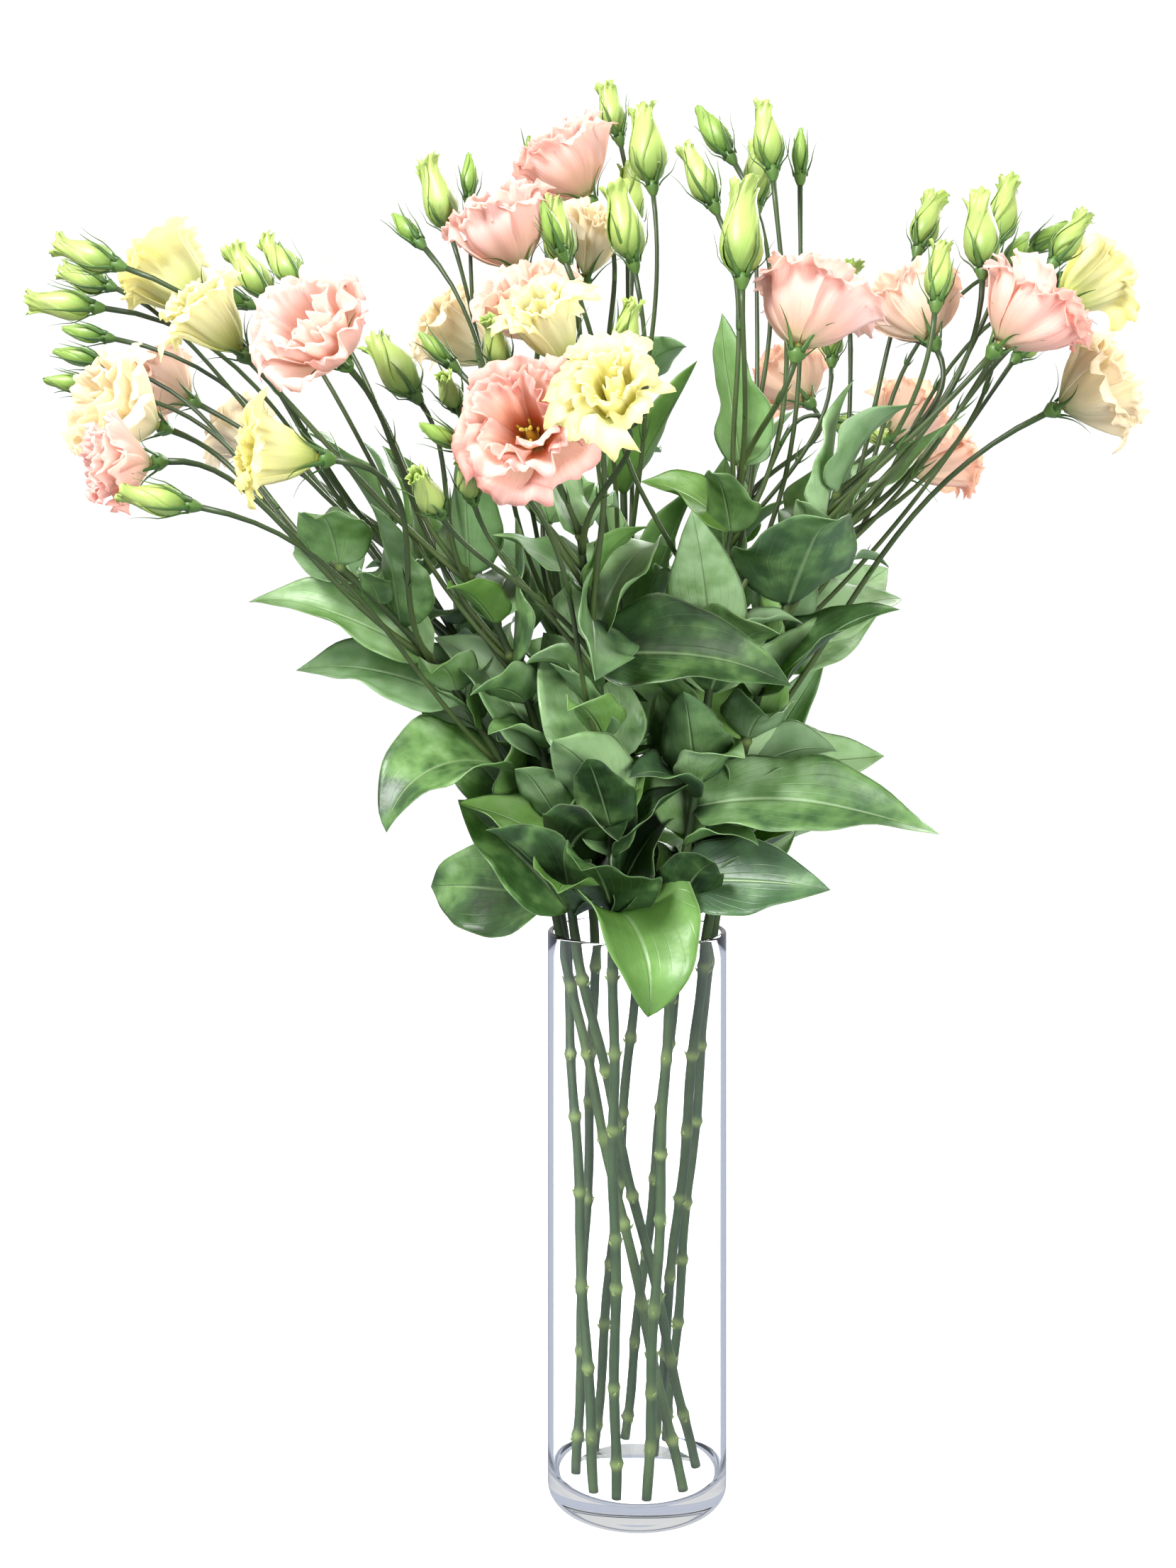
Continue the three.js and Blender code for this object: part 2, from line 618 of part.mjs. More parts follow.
function leafChoices(leaf) {
  const choices = [];
  for (const size of LEAF_SIZES)
    for (const tilt of LEAF_TILTS)
      for (const turn of LEAF_TURNS)
        choices.push({
          ...leaf,
          azimuth: leaf.azimuth + rad(turn),
          pitch: leaf.pitch + rad(tilt),
          length: leaf.length * size,
          half: leaf.half * size,
        });
  return choices;
}

function leafBalls(leaf) {
  const points = [];
  const steps = Math.ceil(leaf.length / BALL_STEP);
  for (let k = 1; k <= steps; k++) {
    const across = Math.max(1, Math.ceil((2 * leafHalf(leaf, k / steps)) / BALL_STEP));
    for (let i = 0; i <= across; i++) points.push(leafPoint(leaf, k / steps, (2 * i) / across - 1));
  }
  return points;
}

// The balls that stand for a head.
function takeHead(head, stem) {
  const long = headLength(head);
  if (!head.colour) {
    for (const t of [0.2, 0.45, 0.7, 0.95])
      take([along(head.seat, head.way, long * t)], head.size * BUD[head.form] + 1, stem, head);
    return;
  }
  take([along(head.seat, head.way, 4)], 7, stem, head);
  for (const petal of petals(head).flat())
    for (const u of [0.2, 0.4, 0.6, 0.8, 1])
      take([-1, -0.5, 0, 0.5, 1].map((v) => petalPoint(head, petal, u, v)), BALL, stem, head);
  if (head.form === "open") take([along(head.seat, head.way, long * 0.8)], head.size * 0.36, stem, head);
}

function layOut() {
  for (let a = 0; a < 40; a++)
    for (let z = 235; z <= VASE.height; z += 8)
      take([vec(0, 0, z).addScaledVector(heading(9 * a, 0), VASE.radius - VASE.wall / 2)], BALL, -1, null);
  const stems = STEMS.map((spec, index) => ({ ...spec, index, ...stemCurve(spec) }));
  for (const stem of stems) {
    const used = {};
    stem.heads = stem.heads.map(([form, joint, x, y, z, azimuth, elevation, size, colour], k) => {
      const way = heading(azimuth, elevation);
      const head = { form, way, size, colour, seed: 100 * stem.index + k };
      used[joint] = (used[joint] ?? -1) + 1;
      head.start = stem.joints[joint] - SUNK - TWIG.apart * used[joint];
      head.seat = along(vec(x, y, z), way, -headLength(head) / 2);
      return head;
    });
    const points = [];
    for (let k = 0; k <= 60; k++) points.push(stem.foot.clone().lerp(stem.rim, k / 60));
    for (let k = 1; k <= 60; k++) points.push(stem.upper.getPoint(k / 60));
    take(points, STEM.foot + 0.6, stem.index, null);
    for (const head of stem.heads) takeHead(head, stem.index);
  }
  for (const stem of stems) placeTwigs(stem);
  for (const stem of stems) {
    const roll = dice(7 + stem.index);
    stem.grown = [];
    for (const leaf of stem.leaves) placeLeaf(stem, roll, leafTo(stem, leaf));
  }
  for (const stem of stems) {
    const roll = dice(70 + stem.index);
    stem.joints.forEach((t, k) => {
      for (const flip of [0, 180]) placeLeaf(stem, roll, leafOfPair(stem, roll, t, k, flip));
    });
  }
  return stems;
}

function placeTwigs(stem) {
  for (const head of stem.heads) {
    const start = stem.upper.getPoint(head.start);
    const others = nearby(start, start.distanceTo(head.seat) + 50, stem.index, head);
    const found = firstClear(
      BOWS.map((bow) => twigCurve(stem, head, bow)),
      (option) => room(option.getPoints(30).slice(2), 2.0, others));
    head.twig = found.choice;
    take(head.twig.getPoints(40), 2.0, stem.index, head);
  }
}

// A leaf that reaches from a joint of its stem to a tip.
function leafTo(stem, [t, x, y, z, half, roll, droop]) {
  const root = stem.upper.getPoint(t - SUNK);
  const chord = vec(x, y, z).sub(root);
  const level = Math.hypot(chord.x, chord.y) - LEAF.inset;
  const bend = rad(droop);
  return {
    root,
    azimuth: Math.atan2(chord.y, chord.x),
    pitch: Math.atan2(chord.z, level) + bend / 2,
    droop: bend,
    length: (Math.hypot(level, chord.z) * (bend / 2)) / Math.sin(bend / 2),
    half,
    roll: rad(roll),
  };
}

// A leaf of the pairs that fill the bunch, each pair square to the one below.
function leafOfPair(stem, roll, t, k, flip) {
  const last = k === stem.joints.length - 1;
  const length = (last ? 62 : 92 - 4 * k) * (0.9 + 0.2 * roll());
  return {
    root: stem.upper.getPoint(t - SUNK),
    azimuth: rad(stem.turn + 90 * k + flip + 24 * (roll() - 0.5)),
    pitch: rad(50 + 8 * k + 20 * (roll() - 0.5)),
    droop: rad(25 + 40 * roll()),
    length,
    half: length * LEAF.half * (0.92 + 0.2 * roll()),
    roll: rad(30 * (roll() - 0.5)),
  };
}

function placeLeaf(stem, roll, leaf) {
  const whole = {
    ...leaf,
    twist: rad(40 * (roll() - 0.5)),
    fold: 0.3 + 0.2 * roll(),
    wave: 0.12,
    phase: 2 * Math.PI * roll(),
  };
  const others = nearby(whole.root, whole.length + 10, stem.index, null);
  const found = firstClear(leafChoices(whole), (option) => room(leafBalls(option), BALL, others));
  if (found.free < LEAST) return;
  take(leafBalls(found.choice), BALL, stem.index, null);
  stem.grown.push(found.choice);
}

// Nodes

function material(colour, extra) {
  return new THREE.MeshStandardMaterial({ color: COLOUR[colour], roughness: 0.6, metalness: 0, ...extra });
}

function meshOf(name, shape, look) {
  const { numProp, numVert, vertProperties, triVerts } = shape.getMesh();
  const places = new Float32Array(numVert * 3);
  for (let i = 0; i < numVert; i++) places.set(vertProperties.subarray(i * numProp, i * numProp + 3), i * 3);
  const geometry = new THREE.BufferGeometry();
  geometry.setAttribute("position", new THREE.BufferAttribute(places, 3));
  geometry.setIndex(new THREE.BufferAttribute(triVerts, 1));
  geometry.computeVertexNormals();
  const mesh = new THREE.Mesh(geometry, look);
  mesh.name = name;
  return mesh;
}

function vase() {
  const { radius: r, height: h, wall, floor, corner, sides } = VASE;
  const inner = r - wall;
  const outline = [
    [0, 0], [r - corner, 0], [r - corner * 0.3, corner * 0.3], [r, corner], [r, h - 1], [r - wall / 2, h],
    [inner, h - 1], [inner, floor + 4], [inner - 4, floor], [0, floor],
  ];
  const geometry = new THREE.LatheGeometry(outline.map(([x, z]) => new THREE.Vector2(x, z)), sides);
  geometry.rotateX(Math.PI / 2);
  const mesh = new THREE.Mesh(geometry, material("glass", { roughness: 0.02, transparent: true, opacity: 0.35 }));
  mesh.name = "vase";
  return mesh;
}

function stemSolid(stem) {
  const pieces = [stemBar(stem)];
  for (const leaf of stem.grown) pieces.push(leafSolid(leaf));
  for (const head of stem.heads) pieces.push(headSolid(head));
  return joined(pieces);
}

const two = (n) => String(n).padStart(2, "0");

const bunch = new THREE.Group();
bunch.add(vase());
let blooms = 0;
const laid = layOut();
for (const stem of laid) {
  bunch.add(meshOf("stem_" + two(stem.index + 1), stemSolid(stem), material("green")));
  for (const head of stem.heads) {
    if (!head.colour) continue;
    blooms += 1;
    bunch.add(meshOf("bloom_" + two(blooms) + "_" + head.colour, bloomSolid(head), material(head.colour)));
  }
}

export default bunch;
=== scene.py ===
"""A bunch of double lisianthus in a clear glass cylinder vase: its fine shapes, finishes, floor, light and camera.

Lengths are in millimetres up to the mesh, which is in metres. The origin is the centre of the vase's underside, +Z is
up, and the camera looks along +Y.
"""

import json
from math import atan2, ceil, cos, degrees, hypot, pi, radians, sin

import bmesh
import bpy
import numpy as np
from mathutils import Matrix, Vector

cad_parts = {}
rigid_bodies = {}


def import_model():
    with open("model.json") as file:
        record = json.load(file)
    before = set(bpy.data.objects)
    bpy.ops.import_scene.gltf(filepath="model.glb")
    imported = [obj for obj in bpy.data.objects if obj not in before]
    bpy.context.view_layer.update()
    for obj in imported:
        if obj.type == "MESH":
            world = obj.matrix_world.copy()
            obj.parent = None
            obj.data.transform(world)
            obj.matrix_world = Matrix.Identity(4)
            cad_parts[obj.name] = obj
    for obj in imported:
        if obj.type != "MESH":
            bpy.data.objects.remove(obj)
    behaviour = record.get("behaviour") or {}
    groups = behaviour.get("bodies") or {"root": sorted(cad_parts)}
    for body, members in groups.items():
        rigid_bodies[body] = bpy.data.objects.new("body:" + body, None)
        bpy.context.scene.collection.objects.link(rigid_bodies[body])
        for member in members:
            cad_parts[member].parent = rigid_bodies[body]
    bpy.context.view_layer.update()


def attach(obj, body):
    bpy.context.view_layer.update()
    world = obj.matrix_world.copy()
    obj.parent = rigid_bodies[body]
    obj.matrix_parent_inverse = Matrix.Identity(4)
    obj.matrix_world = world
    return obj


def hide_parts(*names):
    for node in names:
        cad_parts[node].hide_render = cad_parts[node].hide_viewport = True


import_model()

MM = 0.001


class Spec(dict):
    """Named values, read as spec.name."""
    __getattr__ = dict.__getitem__
    __setattr__ = dict.__setitem__


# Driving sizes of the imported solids. GAP is the air below a stem's foot, SPIRAL how far round the vase a stem winds on
# its way down.
VASE = Spec(radius=50, height=315, wall=3, floor=14, corner=7)
GAP = 0.4
STEM_FOOT = 2.8
SPIRAL = radians(115)
TWIG = Spec(apart=0.04, lean=0.6)
LEAF = Spec(half=0.27, root=0.008, taper=0.65, widest=0.459, inset=1.2)
CALYX = Spec(depth=7, lobes=5)
TUBE_HEIGHT = 12
BLOOM = dict(open=Spec(depth=0.68, flare=0.6, rise=1), half=Spec(depth=1.15, flare=0.62, rise=0.95))
BUD = dict(bud=0.205, tight=0.18)
WHORLS = [
    Spec(count=5, base=5.8, scale=1, rise=1, width=radians(33), shingle=0.08),
    Spec(count=3, base=3.2, scale=0.5, rise=0.96, width=radians(54), shingle=0.06),
]

# Each stem: where it leaves the rim (degrees round the vase, distance from its axis), how far from the axis its line
# above the rim comes up from the floor, its foot, the last joint's place, how steeply the stem ends, the first leaf
# pair's direction, and the leaf joints as shares of the way from rim to last joint.
# Each leaf that the photograph shows: its joint as such a share, its tip, its half width, its roll and its droop.
# Each head: form, the joint that it branches from, its middle, the way it faces (azimuth, elevation), its size
# (width across an open or half-open bloom, length of a bud) and a bloom's colour.
STEMS = [
    Spec(exit=185, rim=43, wind=31, foot=[24, -28], top=[-165, -40, 520], rise=40, turn=20,
         joints=[0.12, 0.42, 0.72, 1],
         leaves=[[0.1, -140, -25, 348, 25, -65, 15], [0.3, -140, -25, 440, 15, -70, 10],
            [0.42, -86, -92, 378, 25, -25, 90], [0.6, -196, -30, 462, 20, -50, 30],
            [0.72, -216, -10, 505, 17, -50, 20], [0.82, -212, -68, 515, 17, -40, 30],
            [0.95, -237, -35, 542, 18, -40, 25]],
         heads=[["open", 2, -262, -95, 566, 205, -5, 46, "pink"], ["bud", 1, -243, -112, 547, 190, 10, 34],
            ["half", 2, -176, -138, 566, 188, 5, 36, "yellow"], ["open", 3, -280, -28, 600, 215, 15, 64, "cream"],
            ["tight", 3, -321, 5, 622, 185, 10, 26], ["tight", 3, -325, 35, 642, 175, 15, 28]]),
    Spec(exit=160, rim=43, wind=36, foot=[-24, -30], top=[-150, 55, 545], rise=50, turn=75, joints=[0.1, 0.4, 0.7, 1],
         leaves=[[0.2, -118, 35, 384, 18, -60, 15], [0.45, -150, 75, 445, 20, -40, 30],
            [0.75, -168, 25, 468, 18, -30, 90], [0.88, -180, 30, 572, 22, -30, 10], [1, -215, 70, 590, 17, -30, 20]],
         heads=[["open", 3, -291, 115, 635, 172, 28, 52, "blush"], ["half", 3, -262, 20, 682, 165, 40, 46, "yellow"],
            ["bud", 2, -319, -15, 662, 182, 5, 36], ["tight", 2, -333, 75, 662, 178, 10, 26],
            ["bud", 3, -327, 55, 692, 165, 20, 34], ["bud", 3, -296, -45, 683, 170, 20, 36],
            ["half", 2, -247, 140, 606, 160, 30, 38, "cream"]]),
    Spec(exit=215, rim=42, wind=28, foot=[33, 0], top=[-92, -58, 515], rise=55, turn=130, joints=[0.14, 0.48, 0.78, 1],
         leaves=[[0.1, -96, -50, 388, 22, -50, 10], [0.25, -72, -72, 398, 16, -45, 30],
            [0.5, -125, -78, 455, 18, -40, 30], [0.75, -102, -82, 540, 23, -20, 10], [1, -150, -85, 562, 16, -20, 20]],
         heads=[["open", 3, -160, -112, 627, 240, 28, 62, "pink"], ["half", 3, -222, -72, 642, 200, 45, 38, "yellow"],
            ["bud", 2, -200, 5, 690, 155, 45, 36], ["bud", 2, -210, -35, 676, 160, 50, 36],
            ["tight", 2, -242, 50, 680, 175, 20, 28], ["bud", 3, -130, -60, 622, 150, 50, 44]]),
    Spec(exit=250, rim=41, wind=33, foot=[-12, -37], top=[-32, -92, 535], rise=70, turn=175,
         joints=[0.1, 0.45, 0.75, 1],
         leaves=[[0.1, 5, -90, 284, 28, 0, 110], [0.3, -28, -100, 420, 14, 0, 10], [0.45, -82, -96, 470, 27, -45, 20],
            [0.55, 0, -112, 498, 15, 80, 20], [0.72, 74, -104, 457, 22, 60, 30], [0.82, -80, -110, 478, 22, -60, 40],
            [1, -75, -128, 578, 15, -20, 10]],
         heads=[["open", 3, -56, -160, 575, 258, 12, 60, "pink"], ["half", 3, -17, -212, 584, 255, 20, 36, "yellow"],
            ["half", 2, -46, -145, 625, 235, 45, 36, "yellow"], ["bud", 2, -103, -165, 546, 250, 30, 30],
            ["bud", 2, -86, -126, 556, 262, 35, 27], ["bud", 3, -96, -115, 600, 258, 25, 26],
            ["tight", 1, -98, -150, 574, 200, 25, 22], ["bud", 3, -72, -128, 622, 250, 50, 27]]),
    Spec(exit=125, rim=40, wind=30, foot=[-34, -8], top=[-60, 28, 590], rise=75, turn=30, joints=[0.1, 0.38, 0.68, 1],
         leaves=[[0.35, -78, 48, 470, 18, -20, 10], [0.6, -88, 15, 545, 20, -30, 10],
            [0.85, -95, 45, 620, 15, -20, 10]],
         heads=[["open", 3, -72, -26, 697, 190, 65, 60, "pink"], ["open", 3, -54, -68, 648, 235, 55, 56, "blush"],
            ["half", 2, -104, 62, 657, 175, 35, 44, "cream"], ["bud", 3, -112, 6, 729, 165, 72, 44],
            ["tight", 2, -129, -10, 706, 150, 45, 24], ["tight", 3, -96, 30, 746, 100, 82, 26],
            ["tight", 2, -107, -72, 629, 170, 45, 22]]),
    Spec(exit=85, rim=36, wind=26, foot=[-24, 20], top=[-8, 32, 615], rise=85, turn=60, joints=[0.08, 0.36, 0.66, 1],
         leaves=[[0.15, -30, 66, 405, 20, 0, 20], [0.55, 15, -2, 575, 20, 0, 5], [0.7, -40, 48, 610, 18, 0, 10],
            [0.85, 24, 8, 640, 16, 0, 5]],
         heads=[["open", 3, -38, 38, 750, 178, 55, 60, "pink"], ["half", 3, -24, 8, 702, 300, 62, 36, "cream"],
            ["bud", 3, -13, 62, 794, 150, 75, 34], ["bud", 3, 6, 2, 757, 125, 80, 50],
            ["bud", 2, -3, 44, 738, 80, 80, 42], ["bud", 2, -8, -52, 699, 190, 78, 42],
            ["bud", 2, -44, -35, 699, 155, 76, 38], ["tight", 2, -62, 92, 775, 160, 80, 24],
            ["tight", 2, -46, -112, 682, 220, 60, 24]]),
    Spec(exit=295, rim=40, wind=34, foot=[4, -38], top=[55, -52, 575], rise=78, turn=140, joints=[0.1, 0.42, 0.72, 1],
         leaves=[[0.15, 98, -70, 348, 20, 60, 10], [0.3, 150, -84, 374, 24, 50, 40], [0.35, 22, -86, 452, 17, 0, 5],
            [0.6, 26, -98, 540, 19, 10, 10], [1, 30, -74, 642, 17, 0, 5]],
         heads=[["open", 3, 84, -92, 642, 40, 68, 62, "pink"], ["bud", 3, 49, -104, 683, 90, 82, 50],
            ["bud", 3, 31, -60, 722, 150, 65, 36], ["tight", 3, 41, -20, 757, 155, 58, 34],
            ["bud", 3, 68, -52, 745, 120, 80, 38], ["bud", 2, 68, 8, 742, 80, 84, 38],
            ["tight", 2, 88, -28, 743, 80, 86, 24], ["bud", 2, -8, -112, 632, 290, 60, 28]]),
    Spec(exit=330, rim=42, wind=30, foot=[10, 14], top=[108, -48, 560], rise=60, turn=10, joints=[0.12, 0.45, 0.74, 1],
         leaves=[[0.38, 137, -18, 425, 19, 60, 10], [0.55, 122, -75, 500, 22, 40, 10], [0.75, 62, -82, 566, 29, 0, 10],
            [0.95, 108, -48, 616, 17, 0, 5]],
         heads=[["open", 3, 152, -30, 654, 130, 60, 54, "blush"], ["open", 3, 196, -82, 642, 350, 48, 60, "pink"],
            ["bud", 2, 164, 6, 714, 40, 65, 36], ["bud", 3, 150, -92, 664, 60, 75, 32],
            ["bud", 3, 179, -60, 692, 80, 72, 44], ["tight", 3, 205, -32, 688, 40, 50, 28],
            ["bud", 2, 122, 20, 677, 90, 80, 34]]),
    Spec(exit=5, rim=43, wind=35, foot=[18, 32], top=[122, 12, 545], rise=50, turn=100, joints=[0.1, 0.42, 0.72, 1],
         leaves=[[0.3, 125, 12, 465, 15, 40, 10], [0.42, 147, 10, 436, 15, 50, 20], [0.62, 192, 38, 522, 24, 45, 15],
            [0.72, 183, 2, 552, 27, 45, 10], [0.85, 118, -22, 574, 24, 10, 5], [1, 185, 22, 602, 14, 30, 10]],
         heads=[["open", 1, 242, -42, 610, 345, 25, 58, "cream"], ["half", 3, 262, 34, 682, 15, 35, 40, "yellow"],
            ["bud", 3, 213, 30, 726, 30, 72, 40], ["tight", 3, 248, 62, 718, 20, 35, 30],
            ["bud", 3, 244, 2, 704, 10, 55, 34], ["tight", 2, 270, 88, 700, 15, 25, 28],
            ["bud", 2, 238, 62, 655, 30, 40, 30]]),
    Spec(exit=45, rim=38, wind=28, foot=[-6, 34], top=[72, 75, 570], rise=68, turn=45, joints=[0.1, 0.4, 0.7, 1],
         leaves=[[0.2, 12, 4, 448, 17, 0, 5], [0.35, 92, 66, 432, 20, 40, 20], [0.5, 104, 80, 502, 20, 30, 10],
            [0.75, 58, 72, 585, 20, 0, 10]],
         heads=[["open", 3, 104, 132, 640, 130, 45, 52, "blush"], ["open", 2, 172, 118, 614, 30, 35, 52, "blush"],
            ["half", 2, 205, 165, 592, 10, 15, 40, "blush"], ["bud", 3, 135, 60, 602, 350, -20, 32],
            ["bud", 3, 120, 75, 662, 80, 70, 32]]),
]


# Places: the same layout as the solids', so that each fine piece lies where its solid does


def vec(x, y, z):
    return np.array([x, y, z], float)


UP = vec(0, 0, 1)


def unit(a):
    return a / np.linalg.norm(a)


def dice(seed):
    """A repeatable row of numbers between 0 and 1."""
    state = seed

    def roll():
        nonlocal state
        state = (state + 0x6D2B79F5) & 0xFFFFFFFF
        t = state
        t = ((t ^ (t >> 15)) * (t | 1)) & 0xFFFFFFFF
        t ^= (t + (t ^ (t >> 7)) * (t | 61)) & 0xFFFFFFFF
        return (t ^ (t >> 14)) / 4294967296

    return roll


def heading(azimuth, elevation):
    """The direction at an azimuth round +Z and an elevation above the horizon, both in degrees."""
    a, e = radians(azimuth), radians(elevation)
    return vec(cos(a) * cos(e), sin(a) * cos(e), sin(e))


def square_to(way):
    """Two directions square to a third."""
    helper = vec(1, 0, 0) if abs(way[2]) > 0.9 else UP
    u = unit(np.cross(helper, way))
    return u, np.cross(way, u)


def bezier(curve, t):
    t = np.asarray(t, float)[..., None]
    s = 1 - t
    return curve[0] * s**3 + 3 * curve[1] * s * s * t + 3 * curve[2] * s * t * t + curve[3] * t**3


def bezier_way(curve, t):
    a, b, c, d = curve
    s = 1 - t
    return unit((b - a) * s * s + 2 * (c - b) * s * t + (d - c) * t * t)


def leaf_half(leaf, u):
    return leaf.half * np.sqrt(u + LEAF.root) * np.power(1 - u, LEAF.taper) / LEAF.widest


def leaf_spine(leaf, u):
    """Points of a leaf's middle line, and the directions across it and away from its face."""
    h = vec(cos(leaf.azimuth), sin(leaf.azimuth), 0)
    level = vec(-h[1], h[0], 0)
    pitch = leaf.pitch - leaf.droop * u
    out = leaf.length * (sin(leaf.pitch) - np.sin(pitch)) / leaf.droop
    up = leaf.length * (np.cos(pitch) - cos(leaf.pitch)) / leaf.droop
    way = h * np.cos(pitch)[:, None] + UP * np.sin(pitch)[:, None]
    face = np.cross(way, level)
    turn = leaf.roll + leaf.twist * u
    side = level * np.cos(turn)[:, None] + face * np.sin(turn)[:, None]
    spine = leaf.root + h * (LEAF.inset + out)[:, None] + UP * up[:, None]
    return spine, side, np.cross(way, side)


def leaf_wave(leaf, u, v):
    return leaf.wave * np.sin(3 * pi * u + leaf.phase + np.where(v > 0, 2, 0))


def leaf_point(leaf, u, v):
    """Points of a solid leaf: u from its root to its tip, v across it. Its halves fold up from the middle and wave."""
    spine, side, normal = leaf_spine(leaf, u)
    half = leaf_half(leaf, u)
    lift = half * v * v * (leaf.fold + leaf_wave(leaf, u, v))
    return spine + side * (half * v)[:, None] + normal * lift[:, None]


def head_length(head):
    return head.size * (BLOOM[head.form].depth if head.colour else 1)


def in_head(head, r, a, z):
    """Points at radius r, angle a and height z of a head's own frame."""
    r, a, z = np.broadcast_arrays(r, a, z)
    x, y = head.square
    return head.seat + x * (r * np.cos(a))[..., None] + y * (r * np.sin(a))[..., None] + head.way * z[..., None]


def outwards(head, angle):
    """The direction away from a head's axis at an angle."""
    return in_head(head, 1, angle, 0) - head.seat


def petal_point(head, petal, u, v):
    """Points of a solid petal: u from its base to its rim, v across it."""
    form = BLOOM[head.form]
    s = u - 0.14 * np.abs(v) ** 3 * u
    frill = 0.07 * u**3 * np.cos(2 * pi * v + petal.phase)
    reach = (head.size / 2 - petal.base) * petal.scale * s**form.flare
    r = (petal.base + reach) * (1 + petal.shingle * v + frill)
    climb = (head_length(head) - TUBE_HEIGHT) * petal.rise * (1 - (1 - s) ** form.rise)
    z = TUBE_HEIGHT + climb - head.size * frill * 0.5
    return in_head(head, r, petal.turn + petal.width * v, z)


def petals_of(head):
    roll = dice(head.seed)
    return [Spec(whorl, turn=2 * pi * (i + 0.5) / whorl.count, phase=2 * pi * roll())
            for whorl in (WHORLS if head.form == "open" else WHORLS[:1]) for i in range(whorl.count)]


# A leaf's root and a twig's start lie SUNK below their joint. The room that is taken is filled with balls of radius
# BALL, BALL_STEP apart at most, the glass's from GLASS_FROM up, because nothing hangs lower. A leaf or twig may touch
# its own stem within OWN of its root, and a ball more than NEAR away is never in the way. A leaf is left out if the air
# round it is less than LEAST, or less than LEAST_YOUNG for a young one.
SUNK = 0.02
OWN = 15
BALL = 3.4
BALL_STEP = 8
STEM_BALL = STEM_FOOT + 0.6
TWIG_BALL = 2.0
MOST_BALLS = 40000
GLASS_FROM = 235
NEAR = 8
LEAST = -1.2
LEAST_YOUNG = -4.6
YOUNG_JOINTS = (0.05, 0.2, 0.3, 0.5, 0.6, 0.84)

# What is tried in turn until there is room: a twig's bow to the sides, a leaf's turn, tilt and size.
BOWS = [[0, 0], [9, 0], [-9, 0], [0, 9], [0, -9], [16, 10], [-16, 10], [16, -10], [-16, -10], [26, 0], [-26, 0],
        [0, 26], [0, -26], [36, 20], [-36, 20], [36, -20], [-36, -20], [0, 42], [0, -42], [48, 0], [-48, 0]]
LEAF_TURNS = [0, 10, -10, 20, -20, 32, -32, 46, -46, 62, -62]
LEAF_TILTS = [0, 10, -10, 22, -20, 34]
LEAF_SIZES = [1, 0.86, 0.72]

NOBODY = Spec(index=-1, seed=-1)


class Balls:
    """The room that is taken: balls, each with the stem and the head that it belongs to."""

    def __init__(self):
        self.rows = np.empty((MOST_BALLS, 6))
        self.count = 0

    def take(self, points, r, stem=NOBODY, head=NOBODY):
        rows = self.rows[self.count:self.count + len(points)]
        rows[:, :3], rows[:, 3:] = points, (r, stem.index, head.seed)
        self.count += len(points)

    def nearby(self, start, reach, stem, head=NOBODY):
        """What may be in the way within reach of start: all but its own head, and all of its own stem's close by."""
        rows = self.rows[:self.count]
        d = np.linalg.norm(rows[:, :3] - start, axis=1)
        keep = (d < reach + rows[:, 3]) & ~((rows[:, 4] == stem.index) & (d < OWN))
        if head is not NOBODY:
            keep &= rows[:, 5] != head.seed
        return rows[keep]


def room(points, r, others):
    """The smallest air gap between balls of radius r round the points and the balls of others."""
    if not len(others):
        return float("inf")
    low, high = points.min(0) - r - NEAR, points.max(0) + r + NEAR
    close = others[((others[:, :3] > low) & (others[:, :3] < high)).all(1)]
    if not len(close):
        close = others
    gap = (points**2).sum(1)[:, None] + (close[:, :3] ** 2).sum(1) - 2 * points @ close[:, :3].T
    return float((np.sqrt(np.maximum(gap, 0)) - close[:, 3]).min()) - r


def first_clear(choices, measure):
    """The first choice with room round it, or else the one with the most."""
    best, most = None, -float("inf")
    for choice in choices:
        free = measure(choice)
        if free > most:
            best, most = choice, free
        if free > 0:
            break
    return best, most


def stem_curve(spec):
    """A stem's foot, its place at the rim, and its curve above the rim."""
    turn = radians(spec.exit)
    rim = vec(spec.rim * cos(turn), spec.rim * sin(turn), VASE.height - 3)
    foot = vec(*spec.foot, VASE.floor)
    lean = hypot(*(foot - rim)[:2]) / np.linalg.norm(foot - rim)
    foot[2] += GAP + STEM_FOOT * lean
    below = vec(spec.wind * cos(turn - SPIRAL), spec.wind * sin(turn - SPIRAL), VASE.floor)
    top = vec(*spec.top)
    reach = np.linalg.norm(top - rim) * 0.36
    end = heading(degrees(atan2(top[1], top[0])), spec.rise)
    return foot, rim, (rim, rim + unit(rim - below) * reach, top - end * reach, top)


def twig_curve(stem, head, bow):
    """A twig leaves the stem a little outwards and comes to its head along the way that the head faces."""
    start = bezier(stem.upper, head.start)
    end = head.seat - head.way * CALYX.depth
    out = unit((end - start) * vec(1, 1, 0))
    first = unit(bezier_way(stem.upper, head.start) + out * TWIG.lean)
    reach = np.linalg.norm(end - start) * 0.38
    side = vec(*bow, 0)
    return start, start + first * reach + side * 0.5, end - head.way * reach + side, end


def shown_leaves(stem, roll):
    """The leaves that the photograph shows, each from a joint of its stem to a tip."""
    for t, x, y, z, half, lean, droop in stem.leaves:
        root = bezier(stem.upper, t - SUNK)
        chord = vec(x, y, z) - root
        level = hypot(chord[0], chord[1]) - LEAF.inset
        bend = radians(droop)
        yield Spec(root=root, azimuth=atan2(chord[1], chord[0]), pitch=atan2(chord[2], level) + bend / 2, droop=bend,
                   length=hypot(level, chord[2]) * (bend / 2) / sin(bend / 2), half=half, roll=radians(lean))


